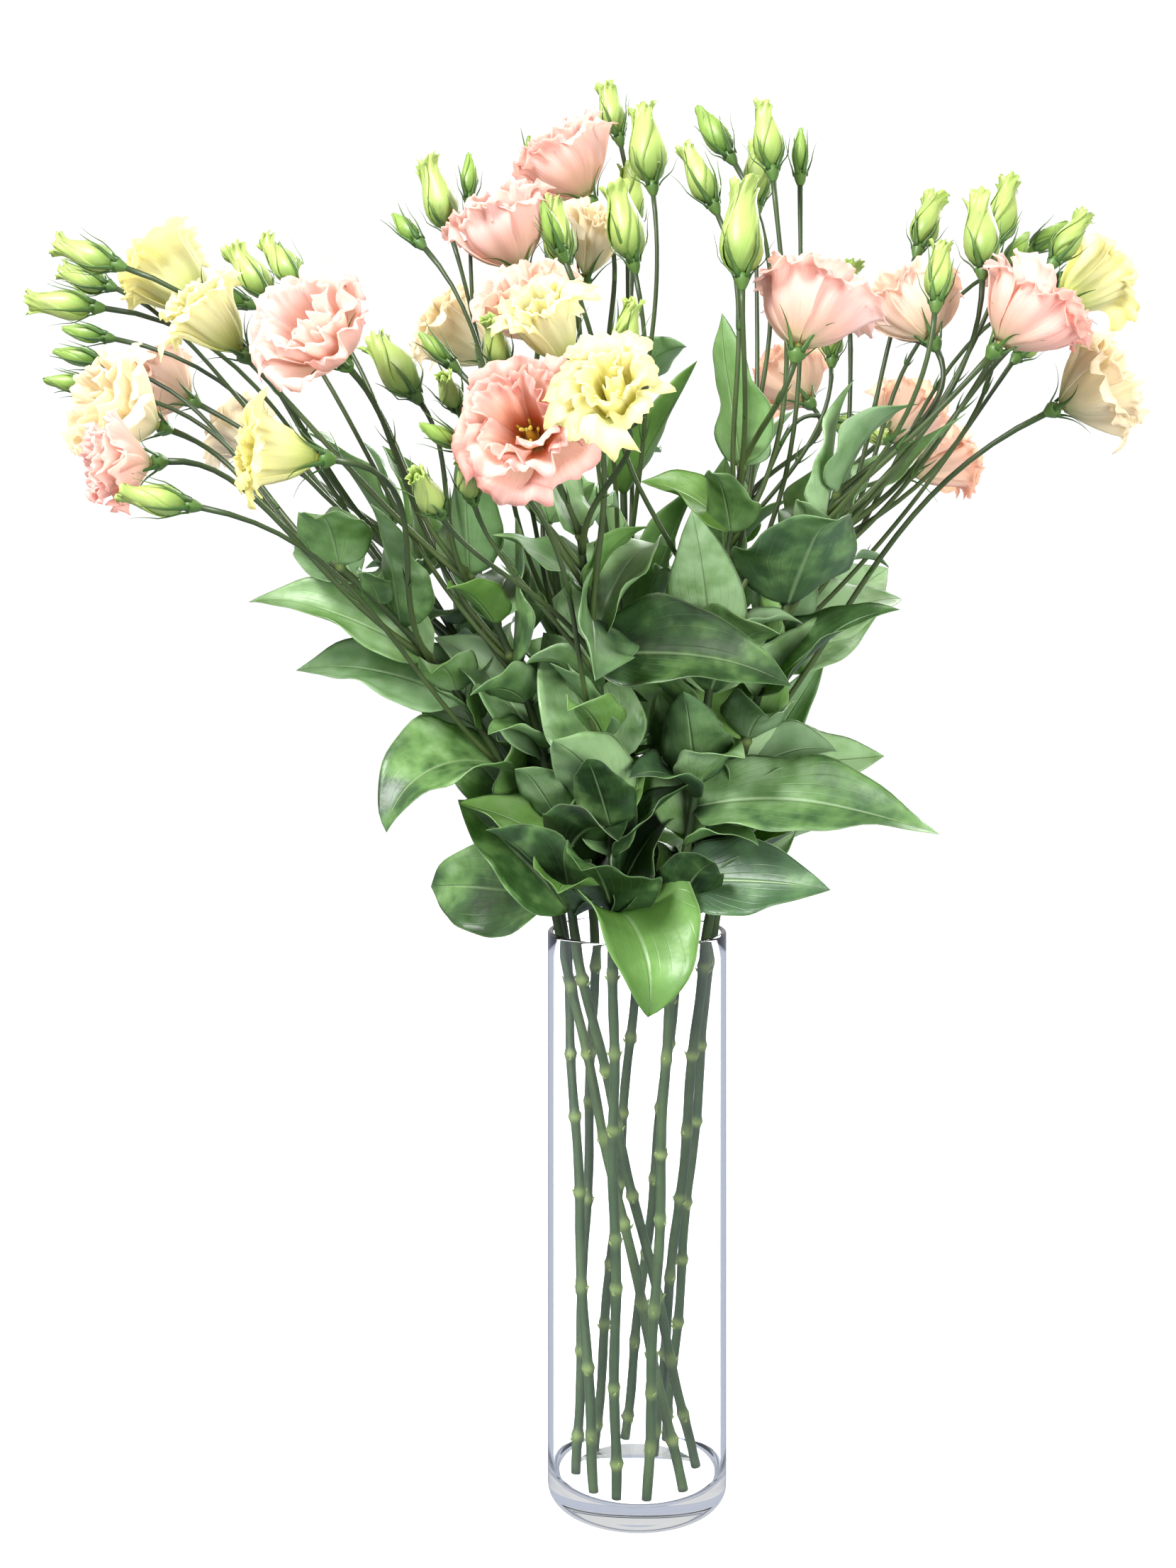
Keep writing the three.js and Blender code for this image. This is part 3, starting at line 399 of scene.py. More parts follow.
def paired_leaves(stem, roll):
    """Pairs of leaves that fill the bunch, each square to the pair below."""
    for k, joint in enumerate(stem.joints):
        for flip in (0, 180):
            length = (62 if joint == 1 else 92 - 4 * k) * (0.9 + 0.2 * roll())
            yield Spec(root=bezier(stem.upper, joint - SUNK), length=length,
                       azimuth=radians(stem.turn + 90 * k + flip + 24 * (roll() - 0.5)),
                       pitch=radians(50 + 8 * k + 20 * (roll() - 0.5)), droop=radians(25 + 40 * roll()),
                       half=length * LEAF.half * (0.92 + 0.2 * roll()), roll=radians(30 * (roll() - 0.5)))


def young_leaves(stem, roll):
    """Younger pairs between the joints, which the solids leave bare."""
    for k, joint in enumerate(YOUNG_JOINTS):
        for flip in (0, 180):
            t = joint + 0.03 * roll()
            length = (78 - 22 * t) * (0.8 + 0.4 * roll())
            yield Spec(root=bezier(stem.upper, t), length=length,
                       azimuth=radians(stem.turn + 45 + 90 * k + flip + 50 * (roll() - 0.5)),
                       pitch=radians(48 + 34 * roll()), droop=radians(20 + 50 * roll()),
                       half=length * (0.22 + 0.08 * roll()), roll=radians(70 * (roll() - 0.5)))


def leaf_balls(leaf):
    """Points all over a leaf, BALL_STEP apart at most."""
    us, vs = [], []
    steps = ceil(leaf.length / BALL_STEP)
    for k in range(1, steps + 1):
        across = max(1, ceil(2 * leaf_half(leaf, k / steps) / BALL_STEP))
        us += [k / steps] * (across + 1)
        vs += [2 * i / across - 1 for i in range(across + 1)]
    return leaf_point(leaf, np.array(us), np.array(vs))


def place_leaf(balls, stem, roll, leaf, least):
    """Gives the stem a leaf where there is room for it."""
    leaf = Spec(leaf, twist=radians(40 * (roll() - 0.5)), fold=0.3 + 0.2 * roll(), wave=0.12, phase=2 * pi * roll())
    others = balls.nearby(leaf.root, leaf.length + 10, stem)
    choices = (
        Spec(leaf, azimuth=leaf.azimuth + radians(turn), pitch=leaf.pitch + radians(tilt), length=leaf.length * size,
             half=leaf.half * size)
        for size in LEAF_SIZES for tilt in LEAF_TILTS for turn in LEAF_TURNS)
    found, free = first_clear(choices, lambda choice: room(leaf_balls(choice), BALL, others))
    if free >= least:
        balls.take(leaf_balls(found), BALL, stem)
        stem.grown.append(found)


def take_head(balls, head, stem):
    """Takes up the room of a bud, or of a bloom's foot, petals and middle."""
    def take(share, r):
        balls.take([head.seat + head.way * head_length(head) * share], r, stem, head)

    if not head.colour:
        for t in (0.2, 0.45, 0.7, 0.95):
            take(t, head.size * BUD[head.form] + 1)
        return
    balls.take([head.seat + head.way * 4], 7, stem, head)
    u, v = [a.ravel() for a in np.meshgrid([0.2, 0.4, 0.6, 0.8, 1], [-1, -0.5, 0, 0.5, 1])]
    for petal in petals_of(head):
        balls.take(petal_point(head, petal, u, v), BALL, stem, head)
    if head.form == "open":
        take(0.8, head.size * 0.36)


def stems_laid_out():
    """The stems with all that grows on them. The stems and heads take up their room first, then the twigs, then the
    leaves."""
    balls = Balls()
    for a in range(40):
        wall = heading(9 * a, 0) * (VASE.radius - VASE.wall / 2)
        balls.take([wall + UP * z for z in range(GLASS_FROM, VASE.height + 1, BALL_STEP)], BALL)
    stems = []
    for index, spec in enumerate(STEMS):
        foot, rim, upper = stem_curve(spec)
        stem = Spec(spec, index=index, foot=foot, rim=rim, upper=upper, grown=[], heads=[])
        used = {}
        for k, (form, joint, x, y, z, azimuth, elevation, size, *colour) in enumerate(spec.heads):
            way = heading(azimuth, elevation)
            used[joint] = used.get(joint, -1) + 1
            head = Spec(form=form, way=way, size=size, colour=(colour or [None])[0], seed=100 * index + k,
                        square=square_to(way), start=stem.joints[joint] - SUNK - TWIG.apart * used[joint])
            head.seat = vec(x, y, z) - way * head_length(head) / 2
            stem.heads.append(head)
        line = [foot + (rim - foot) * k / 60 for k in range(61)] + [bezier(upper, k / 60) for k in range(1, 61)]
        balls.take(line, STEM_BALL, stem)
        for head in stem.heads:
            take_head(balls, head, stem)
        stems.append(stem)
    steps = np.linspace(0, 1, 31)[2:]
    for stem in stems:
        for head in stem.heads:
            reach = np.linalg.norm(bezier(stem.upper, head.start) - head.seat) + 50
            others = balls.nearby(bezier(stem.upper, head.start), reach, stem, head)
            head.twig, _ = first_clear([twig_curve(stem, head, bow) for bow in BOWS],
                                       lambda twig: room(bezier(twig, steps), TWIG_BALL, others))
            balls.take(bezier(head.twig, np.linspace(0, 1, 41)), TWIG_BALL, stem, head)
    for leaves, seed, least in ((shown_leaves, 7, LEAST), (paired_leaves, 70, LEAST), (young_leaves, 300, LEAST_YOUNG)):
        for stem in stems:
            roll = dice(seed + stem.index)
            for leaf in leaves(stem, roll):
                place_leaf(balls, stem, roll, leaf, least)
    return stems


# Shapes


def kept(bm, name="shape"):
    mesh = bpy.data.meshes.new(name)
    bm.to_mesh(mesh)
    bm.free()
    return mesh


def shown(name, data):
    """A new object in the scene."""
    thing = bpy.data.objects.new(name, data)
    bpy.context.scene.collection.objects.link(thing)
    return thing


def smooth_piece(name, bm, materials):
    for face in bm.faces:
        face.smooth = True
    mesh = kept(bm, name)
    for material in materials:
        mesh.materials.append(material)
    return shown(name, mesh)


def grid_shape(along, across):
    """A flat sheet to bend into shape: its mesh, and each vertex's share along and place across it."""
    bm = bmesh.new()
    bmesh.ops.create_grid(bm, x_segments=along, y_segments=across, size=1)
    co = np.array([v.co for v in bm.verts])
    return kept(bm), (co[:, 0] + 1) / 2, co[:, 1]


def round_shape(rings, sides):
    """A closed round body to stretch into shape: its mesh, and each vertex's ring and angle. Its poles are rings too:
    the one before the first and the one after the last."""
    bm = bmesh.new()
    bmesh.ops.create_uvsphere(bm, u_segments=sides, v_segments=rings + 1, radius=1)
    co = np.array([v.co for v in bm.verts])
    ring = np.round(np.arccos(np.clip(-co[:, 2], -1, 1)) / pi * (rings + 1)).astype(int) - 1
    return kept(bm), ring, np.arctan2(co[:, 1], co[:, 0])


STEM_SHAPE = round_shape(176, 12)
STALK_SHAPE = round_shape(18, 8)
NUB_SHAPE = round_shape(5, 6)
LOBE_SHAPE = round_shape(9, 6)
CUP_SHAPE = round_shape(9, 14)
BUD_SHAPE = round_shape(13, 12)
STRAP_SHAPE = round_shape(8, 5)
BUD_PETAL_SHAPE = grid_shape(12, 9)
LEAF_SHAPE = grid_shape(22, 10)
PETAL_SHAPE = grid_shape(12, 30)


def on_rings(ring, radii):
    """For the vertices of a round shape: their ring with the poles' moved to the next one, the share along, and the
    radius, which is 0 at the poles."""
    last = len(radii) - 1
    k = np.clip(ring, 0, last)
    return k, k / last, np.where(ring == k, radii[k], 0)


class Piece:
    """A mesh in the making. Each vertex keeps (share along, place across, shade) for its finish."""

    def __init__(self):
        self.bm = bmesh.new()
        self.place = self.bm.verts.layers.float_vector.new("place")

    def add(self, shape, points, along, across, shade, material=0):
        """Adds a shape with its vertices moved to the points."""
        verts, faces = len(self.bm.verts), len(self.bm.faces)
        self.bm.from_mesh(shape[0])
        self.bm.verts.ensure_lookup_table()
        self.bm.faces.ensure_lookup_table()
        places = np.stack(np.broadcast_arrays(along, across, shade), -1).tolist()
        for vert, point, place in zip(self.bm.verts[verts:], (points * MM).tolist(), places):
            vert.co = point
            vert[self.place] = place
        for face in self.bm.faces[faces:]:
            face.material_index = material

    def sweep(self, shape, line, radii, across, shade, material=0, flat=1, face=None):
        """Adds a round body along a line. A flat one is narrower across the way it faces. Radii, and across where it
        changes, have a value for each point of the line."""
        _, ring, angle = shape
        ways = np.gradient(line, axis=0)
        ways /= np.linalg.norm(ways, axis=1)[:, None]
        u = square_to(ways[0])[0] if face is None else face
        us = []
        for way in ways:
            u = unit(u - way * (u @ way))
            us.append(u)
        us = np.array(us)
        ws = np.cross(ways, us)
        k, share, r = on_rings(ring, np.array(radii))
        points = line[k] + us[k] * (flat * r * np.cos(angle))[:, None] + ws[k] * (r * np.sin(angle))[:, None]
        self.add(shape, points, share, np.broadcast_to(across, len(line))[k], shade, material)

    def finish(self, name, node, slot, materials, thickness=0):
        piece = smooth_piece(name, self.bm, materials)
        if thickness:
            shell = piece.modifiers.new("thickness", "SOLIDIFY")
            shell.thickness = thickness * MM
            shell.offset = 0
            shell.use_rim = True
        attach(piece, "root")
        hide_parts(node)


# Which of its piece's materials a shape takes, where that isn't the first.
CUP_SKIN, OPENING_CORE, TIGHT_CORE = 1, 2, 3
TIGHT_PETAL = HEART_SKIN = 1


def turned(shape, head, outline, twist=0, ridge=0, ridges=5):
    """Points of a body turned about a head's axis through (radius, height) pairs, with a twist and ridges along it, and
    their shares along it."""
    _, ring, angle = shape
    k, share, r = on_rings(ring, outline[:, 0])
    fold = ridge * np.sin(pi * np.clip(share * 1.15, 0, 1)) * np.abs(np.sin(angle * ridges / 2)) ** 0.6
    return in_head(head, r * (1 + fold - ridge / 2), angle + twist * share, outline[k, 1]), share


def smooth_outline(pairs, count):
    """More (radius, height) pairs on a soft line through a few."""
    pairs = np.asarray(pairs, float)
    s = np.linspace(0, len(pairs) - 1, count)
    k = np.clip(s.astype(int), 0, len(pairs) - 2)
    f = (s - k)[:, None]
    before, after = pairs[np.maximum(k - 1, 0)], pairs[np.minimum(k + 2, len(pairs) - 1)]
    a, b = pairs[k], pairs[k + 1]
    return 0.5 * (2 * a + (b - before) * f + (2 * before - 5 * a + 4 * b - after) * f**2
                  + (3 * a - before - 3 * b + after) * f**3)


def both_sides(way, spin):
    """Two opposite directions square to a third."""
    u, w = square_to(way)
    return [u * cos(spin + side) + w * sin(spin + side) for side in (0, pi)]


# Joints below the rim, how much a joint swells and how long it is, in steps of the stem's line, the stem's radii at its
# foot, at the rim and at its top, and how many times its bend at the rim is smoothed.
LOW_JOINTS = 7
JOINT_SWELL = 1.15
JOINT_LONG = 0.55
STEM_RADII = [2.75, 2.7, 1.9]
EASINGS = 12


def add_stem(piece, stem, roll):
    """The stem from its cut foot to its last joint, with its swollen joints, and nubs where its low leaves were."""
    foot, rim = stem.foot, stem.rim
    count = STEM_SHAPE[1].max() // 2
    line = np.array([foot + (rim - foot) * k / count for k in range(count)]
                    + [bezier(stem.upper, k / (count - 1)) for k in range(count)])
    ease = count // 5
    for _ in range(EASINGS):
        line[count - ease:count + ease] = (line[count - ease - 1:count + ease - 1]
                                           + line[count - ease + 1:count + ease + 1]) / 2
    at = np.arange(2 * count)
    straight = np.interp(at, [0, 0.1 * count, 0.8 * count, count], [0, 1, 1, 0])
    for axis in (0, 1):
        line[:, axis] += 0.8 * straight * np.sin(at * 2 * pi * 2.5 / count + 6 * roll())
    radii = np.interp(at, [0, count, 2 * count - 1], STEM_RADII) * (1 + 0.03 * np.sin(at * 0.7 + 6 * roll()))
    low = [(k + 0.3 + 0.4 * roll()) / LOW_JOINTS * count for k in range(LOW_JOINTS)]
    high = [count * (1 + t - SUNK) - 1 for t in stem.joints]
    pale = np.zeros(2 * count)
    for joint in low + high:
        near = np.exp(-(((at - joint) / JOINT_LONG) ** 2))
        radii += JOINT_SWELL * near
        pale = np.maximum(pale, near)
    piece.sweep(STEM_SHAPE, line, radii, 0.75 * pale, 0.7 * roll())
    t = np.linspace(0, 1, 5)[:, None]
    for joint in low:
        k = int(joint)
        for out in both_sides(unit(line[k + 1] - line[k]), 2 * pi * roll()):
            nub = line[k] + out * (2.2 + (1.6 + roll()) * t) + 2.2 * UP * t * t
            piece.sweep(NUB_SHAPE, nub, [1.2, 1.2, 1.0, 0.7, 0.3], 0.8, 0.6, flat=0.7, face=out)


def add_twig(piece, head, roll):
    """A head's stalk, which widens into the cup below its petals, and its pair of needle bracts."""
    steps = np.linspace(0, 1, 18)
    radii = np.interp(steps, [0, 0.05, 0.14, 0.88, 1], [2.1, 1.9, 1.6, 1.45, 1.9])
    if not head.colour:
        radii *= 0.86
    piece.sweep(STALK_SHAPE, bezier(head.twig, steps), radii, 0.2 * (1 - steps), 0.2 + 0.5 * roll())
    at = 0.3 + 0.4 * roll()
    root, way = bezier(head.twig, at), bezier_way(head.twig, at)
    sides = both_sides(way, 2 * pi * roll())
    long = 7 + 9 * roll()
    t = np.linspace(0, 1, 9)[:, None]
    radii = np.interp(t[:, 0], [0, 0.15, 0.6, 1], [1.0, 1.1, 0.5, 0.1])
    for out in sides:
        line = root + out * (1 + long * 0.5 * t - 0.2 * long * t * t) + way * (long * 0.9 * t - 1)
        piece.sweep(LOBE_SHAPE, line, radii, 0.1, 0.3 * roll(), CUP_SKIN, flat=0.4, face=out)


def add_calyx(piece, head, roll):
    """The green cup and its long thin lobes, which spread under a bloom and lie on a bud."""
    bloom = bool(head.colour)
    girth = 0 if bloom else head.size * BUD[head.form]
    wide = 4.4 if bloom else 3.0 + 0.06 * girth
    outline = smooth_outline([[1.2, -8.5], [2.2, -6.5], [wide, -3], [wide * 1.02, -0.5], [wide * 0.7, 1.2]], 9)
    points, share = turned(CUP_SHAPE, head, outline, ridge=0.12, ridges=10)
    piece.add(CUP_SHAPE, points, share, 0.2, 0.2 + 0.3 * roll(), CUP_SKIN)
    long = 15 + 9 * roll()
    t = np.linspace(0, 1, 9)
    radii = np.interp(t, [0, 0.2, 0.6, 1], [1.7, 1.25, 0.6, 0.14])
    for i in range(CALYX.lobes):
        turn = 2 * pi * (i + 0.5) / CALYX.lobes + 0.3 * (roll() - 0.5)
        reach = long * (0.8 + 0.4 * roll())
        if bloom:
            r = 3.6 + 9.5 * t**0.8 + (6 + 6 * roll()) * t**3
            z = -2.5 + reach * t - 7 * roll() * t**2.5
        else:
            flare = 1 + 5 * roll()
            body = girth * np.interp(2 * t * reach / head.size, [0, 0.35, 0.8, 2.5], [0.5, 0.98, 1.0, 0.75])
            r = 2.4 + (body - 1.6) * np.minimum(1, 2.2 * t) + 1.2 + flare * t**3
            z = -2 + (reach + 2) * t
        line = in_head(head, r, turn + 0.5 * (roll() - 0.5) * t**2, z)
        piece.sweep(LOBE_SHAPE, line, radii, 0.3 * t, 0.15 + 0.3 * roll(), CUP_SKIN, 0.35, outwards(head, turn))


# A closed flower's (share of its girth, share of its length) pairs: the line of its petals, and of the core in them.
BUD_OUTLINES = {
    "bud": [[0.16, 0], [0.7, 0.09], [1.02, 0.24], [1, 0.42], [0.8, 0.6], [0.58, 0.76], [0.5, 0.88], [0.6, 1]],
    "tight": [[0.3, 0], [0.85, 0.14], [1.05, 0.34], [0.9, 0.58], [0.56, 0.78], [0.3, 0.92], [0.14, 1]],
}
CORE_TIP = [[0.34, 0.84], [0.2, 0.92], [0.04, 0.95]]


def add_bud(core, petals, head, roll):
    """A closed flower: petals wound round a core, with loose tips."""
    loose, size = head.form == "bud", head.size
    count, core_skin, petal_skin = (4, OPENING_CORE, 0) if loose else (3, TIGHT_CORE, TIGHT_PETAL)
    ragged, wavy = (0.6, 0.17) if loose else (0.1, 0.06)
    girth = size * BUD[head.form] * (0.96 + 0.12 * roll())
    outline = BUD_OUTLINES[head.form]
    inner = np.array([[0.84 * r, z] for r, z in outline if z < 0.8] + CORE_TIP) * (girth, size)
    line = smooth_outline(np.array(outline) * (girth, size), 25)
    twist = 1.9 + 1.6 * roll()
    bend, side, first = 0.05 * size * (0.3 + roll()), 2 * pi * roll(), 2 * pi * roll()

    def bent(points, share):
        return points + outwards(head, side) * (bend * share**2)[:, None]

    points, share = turned(BUD_SHAPE, head, smooth_outline(inner, 13), twist=twist, ridge=0.1)
    core.add(BUD_SHAPE, bent(points, share), share, 0.5, roll(), core_skin)
    _, u, v = BUD_PETAL_SHAPE
    for i in range(count):
        p = [2 * pi * roll() for _ in range(3)]
        tip = np.clip((u - 0.6) / 0.4, 0, 1) ** 2
        s = u * (0.9 + 0.11 * roll() - 0.09 * v * v + 0.02 * tip * np.cos(2 * pi * 1.6 * v + p[0]))
        r, z = [np.interp(s * 24, np.arange(25), line[:, axis]) for axis in (0, 1)]
        r = r * (1 + 0.07 * v)
        r += girth * tip * (ragged * (roll() - 0.25) + wavy * np.cos(8 * v + p[1]))
        r += girth * 0.05 * np.cos(3 * v + 7 * u + p[2])
        wide = 1.42 * pi / count * (1 - 0.25 * tip)
        angle = first + 2 * pi * (i + 0.2 * roll()) / count + wide * v + twist * s
        points = in_head(head, np.maximum(r, 0.4), angle, z)
        petals.add(BUD_PETAL_SHAPE, bent(points, s), s, 1 - np.abs(v) ** 3, roll(), petal_skin)


def add_leaf(piece, leaf, roll):
    """A pointed leaf with a creased middle and a margin that waves."""
    _, u, v = LEAF_SHAPE
    spine, side, normal = leaf_spine(leaf, u)
    half = leaf.half * 1.12 * (u + 0.003) ** 0.44 * (1 - u) ** 0.98 / 0.412
    small = 0.06 * np.sin(7 * pi * u + 6 * leaf.phase + 3 * np.sign(v)) * np.abs(v)
    crease = 0.04 * (1 - np.exp(-np.abs(v) * 9))
    fold, wave = leaf.fold * (0.6 + 0.9 * roll()), 1 + 0.8 * roll()
    lift = half * (v * v * (fold + wave * leaf_wave(leaf, u, v)) + v * v * small + crease)
    tip = np.clip(u - 0.6, 0, 1) ** 2 * leaf.length * 1.1 * (roll() - 0.3)
    points = spine + side * (half * v)[:, None] + normal * (lift - tip)[:, None]
    piece.add(LEAF_SHAPE, points, u, v, roll())


# A whorl's profile: (share of the bloom's radius, share of its length) from its foot in the tube to its rim, and what
# is added to it in a bloom that faces straight up. spread is half a petal's width in degrees, lap how far one edge
# stands over its neighbour, frill how much it waves, curl how far its rim may roll outwards.
WHORLS_SHOWN = {
    "open": [
        Spec(count=5, spread=46, lap=0.12, frill=0.145, turn=0, curl=0.9,
             profile=[[0.13, 0.07], [0.5, 0.29], [0.82, 0.5], [1, 0.66], [1.13, 0.68]],
             upright=[[0, 0], [0.02, -0.02], [-0.08, 0.02], [-0.18, 0.12], [-0.08, 0.2]]),
        Spec(count=5, spread=46, lap=0.12, frill=0.14, turn=0.5, curl=0.3, upright=0,
             profile=[[0.11, 0.08], [0.38, 0.33], [0.6, 0.62], [0.74, 0.88], [0.94, 1]]),
        Spec(count=4, spread=52, lap=0.18, frill=0.13, turn=0.1, curl=0.1, upright=0,
             profile=[[0.09, 0.08], [0.27, 0.36], [0.4, 0.64], [0.48, 0.92], [0.62, 1.09]]),
    ],
    "half": [
        Spec(count=5, spread=44, lap=0.14, frill=0.2, turn=0, curl=1.3, upright=0,
             profile=[[0.16, 0.06], [0.52, 0.27], [0.74, 0.54], [0.86, 0.78], [1.16, 0.92]]),
        Spec(count=4, spread=54, lap=0.16, frill=0.2, turn=0.5, curl=0.7, upright=0,
             profile=[[0.13, 0.07], [0.42, 0.3], [0.58, 0.6], [0.66, 0.86], [0.92, 1]]),
        Spec(count=3, spread=64, lap=0.2, frill=0.18, turn=0.2, curl=0.3, upright=0,
             profile=[[0.1, 0.08], [0.26, 0.34], [0.36, 0.62], [0.38, 0.88], [0.5, 1.01]]),
    ],
}


def on_profile(profile, s):
    """Radius and height on a soft line through a whorl's profile, and the direction away from its outer side."""
    pairs = smooth_outline(profile, 41)
    ways = np.gradient(pairs, axis=0)
    r, z, dr, dz = [np.interp(np.clip(s, 0, 1) * 40, np.arange(41), row) for row in (*pairs.T, *ways.T)]
    long = np.hypot(dr, dz)
    return r, z, dz / long, -dr / long


def add_petal(piece, head, whorl, turn, roll, layer):
    """One petal: narrow where it stands in the tube, broad and frilled at its rim."""
    _, u, v = PETAL_SHAPE
    p = [2 * pi * roll() for _ in range(8)]
    radius, long = head.size / 2, head_length(head)
    rim = np.clip((u - 0.62) / 0.38, 0, 1)
    notches = 0.028 * np.cos(2 * pi * 2.3 * v + p[4]) + 0.013 * np.cos(2 * pi * 5.1 * v + p[6])
    s = u * (0.9 + 0.1 * roll() - 0.17 * np.abs(v) ** 2.4 + notches * rim**2)
    profile = (np.array(whorl.profile) + max(head.way[2], 0) * np.array(whorl.upright)) * (radius, long)
    r, z, out_r, out_z = on_profile(profile, s)
    broad = np.cos(2 * pi * 0.7 * v + p[0]) + 0.7 * np.cos(2 * pi * 1.4 * v + p[1] + 2 * u)
    fine = np.cos(2 * pi * 2.1 * v + p[2] + 2 * u) + 0.55 * np.cos(2 * pi * 3.9 * v + p[5] - u)
    much = whorl.frill * radius * (0.7 + 0.6 * roll())
    wave = much * (0.62 * u**1.7 * broad + 0.42 * rim**2 * fine)
    curl = whorl.curl * (roll() - 0.15) * rim**2 * long * 0.3
    lean = (roll() - 0.5) * 0.2 * u * u * radius
    r = (r + out_r * (wave + curl) + lean) * (1 + whorl.lap * v * (0.3 + 0.7 * u))
    z = z + out_z * (wave + curl)
    wide = radians(whorl.spread) * (0.72 + 0.28 * np.clip(u * 3, 0, 1)) * (0.94 + 0.14 * roll())
    sway = 0.09 * u * np.cos(1.5 * pi * u + p[3])
    points = in_head(head, np.maximum(r, 0.5), turn + wide * v + sway, z)
    piece.add(PETAL_SHAPE, points, u, v, 0.33 * layer + 0.25 * roll())


def add_heart(piece, head, roll):
    """The seed pod with its two-lobed top, the stamens round it, and the cup that the petals stand in."""
    tall = 14 + 0.08 * head.size
    outline = smooth_outline([[1.4, 2], [2.6, 6], [2.4, 11], [1.0, tall], [0.9, tall + 2]], 9)
    points, share = turned(CUP_SHAPE, head, outline)
    piece.add(CUP_SHAPE, points, share, 0.3, 0.3, HEART_SKIN)
    t = np.linspace(0, 1, 8)
    for side in (0, pi):
        line = in_head(head, 0.3 + 2.2 * np.sin(pi * t * 0.6), side + 0.3 * t, tall + 1 + 3.4 * t)
        piece.sweep(STRAP_SHAPE, line, np.interp(t, [0, 0.6, 1], [0.7, 1.1, 0.5]), 0.8, 0.9, HEART_SKIN)
    for i in range(5):
        line = in_head(head, 2 + 3.4 * t, 2 * pi * i / 5 + 0.3 * roll(), 5 + (tall - 4) * t)
        radii = np.interp(t, [0, 0.7, 0.78, 1], [0.35, 0.3, 0.8, 0.6])
        piece.sweep(STRAP_SHAPE, line, radii, np.where(t > 0.7, 1.0, 0.6), 0.9, HEART_SKIN)
    points, share = turned(CUP_SHAPE, head, smooth_outline([[1.8, 0.5], [3.0, 4], [3.8, 8], [3.6, 10], [2.2, 9.5]], 9))
    piece.add(CUP_SHAPE, points, 0.12 * share, 0, 0.4)


def arc(x, z, r, first, last, steps):
    """(radius, height) pairs on an arc of the vase's outline, from one angle in degrees to another."""
    return [[x + r * cos(a), z + r * sin(a)] for a in np.linspace(radians(first), radians(last), steps)]


ROUND = 96


def add_vase(material):
    """The glass: its outline turned round its axis."""
    r, h, wall, floor, corner = VASE.values()
    inner = r - wall
    outline = [[0, 0.8], [r - corner - 6, 0.8], [r - corner - 3, 0]]
    outline += arc(r - corner, corner, corner, -90, 0, 9)
    outline += [[r, z] for z in np.linspace(corner + 12, h - 12, 8)]
    outline += arc(r - wall / 2, h - wall / 2, wall / 2, 0, 180, 9)
    outline += [[inner, z] for z in np.linspace(h - 12, floor + 14, 8)]
    outline += arc(inner - 6, floor + 6, 6, 0, -90, 7)
    outline += [[inner - 18, floor - 0.3], [0, floor - 1.2]]
    bm = bmesh.new()
    verts = [bm.verts.new((x * MM, 0, z * MM)) for x, z in outline]
    edges = [bm.edges.new(pair) for pair in zip(verts, verts[1:])]
    bmesh.ops.spin(bm, geom=verts + edges, cent=(0, 0, 0), axis=(0, 0, 1), angle=2 * pi, steps=ROUND, use_merge=True)
    bmesh.ops.remove_doubles(bm, verts=bm.verts, dist=1e-6)
    bmesh.ops.recalc_face_normals(bm, faces=bm.faces)
    piece = smooth_piece("glass_cylinder", bm, [material])
    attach(piece, "root")
    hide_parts("vase")


# Finishes


def linear(*colour):
    """A colour that is given as it looks on a screen, 0 to 255."""
    return [c / 12.92 if c <= 0.04045 else ((c + 0.055) / 1.055) ** 2.4 for c in (c / 255 for c in colour)] + [1]


class Wire:
    """What a node hands on. Sums, differences and products of wires add their nodes."""

    def __init__(self, nodes, socket):
        self.nodes, self.socket = nodes, socket

    def __add__(self, other):
        return self.nodes.math("ADD", self, other)

    def __sub__(self, other):
        return self.nodes.math("SUBTRACT", self, other)

    def __mul__(self, other):
        return self.nodes.math("MULTIPLY", self, other)


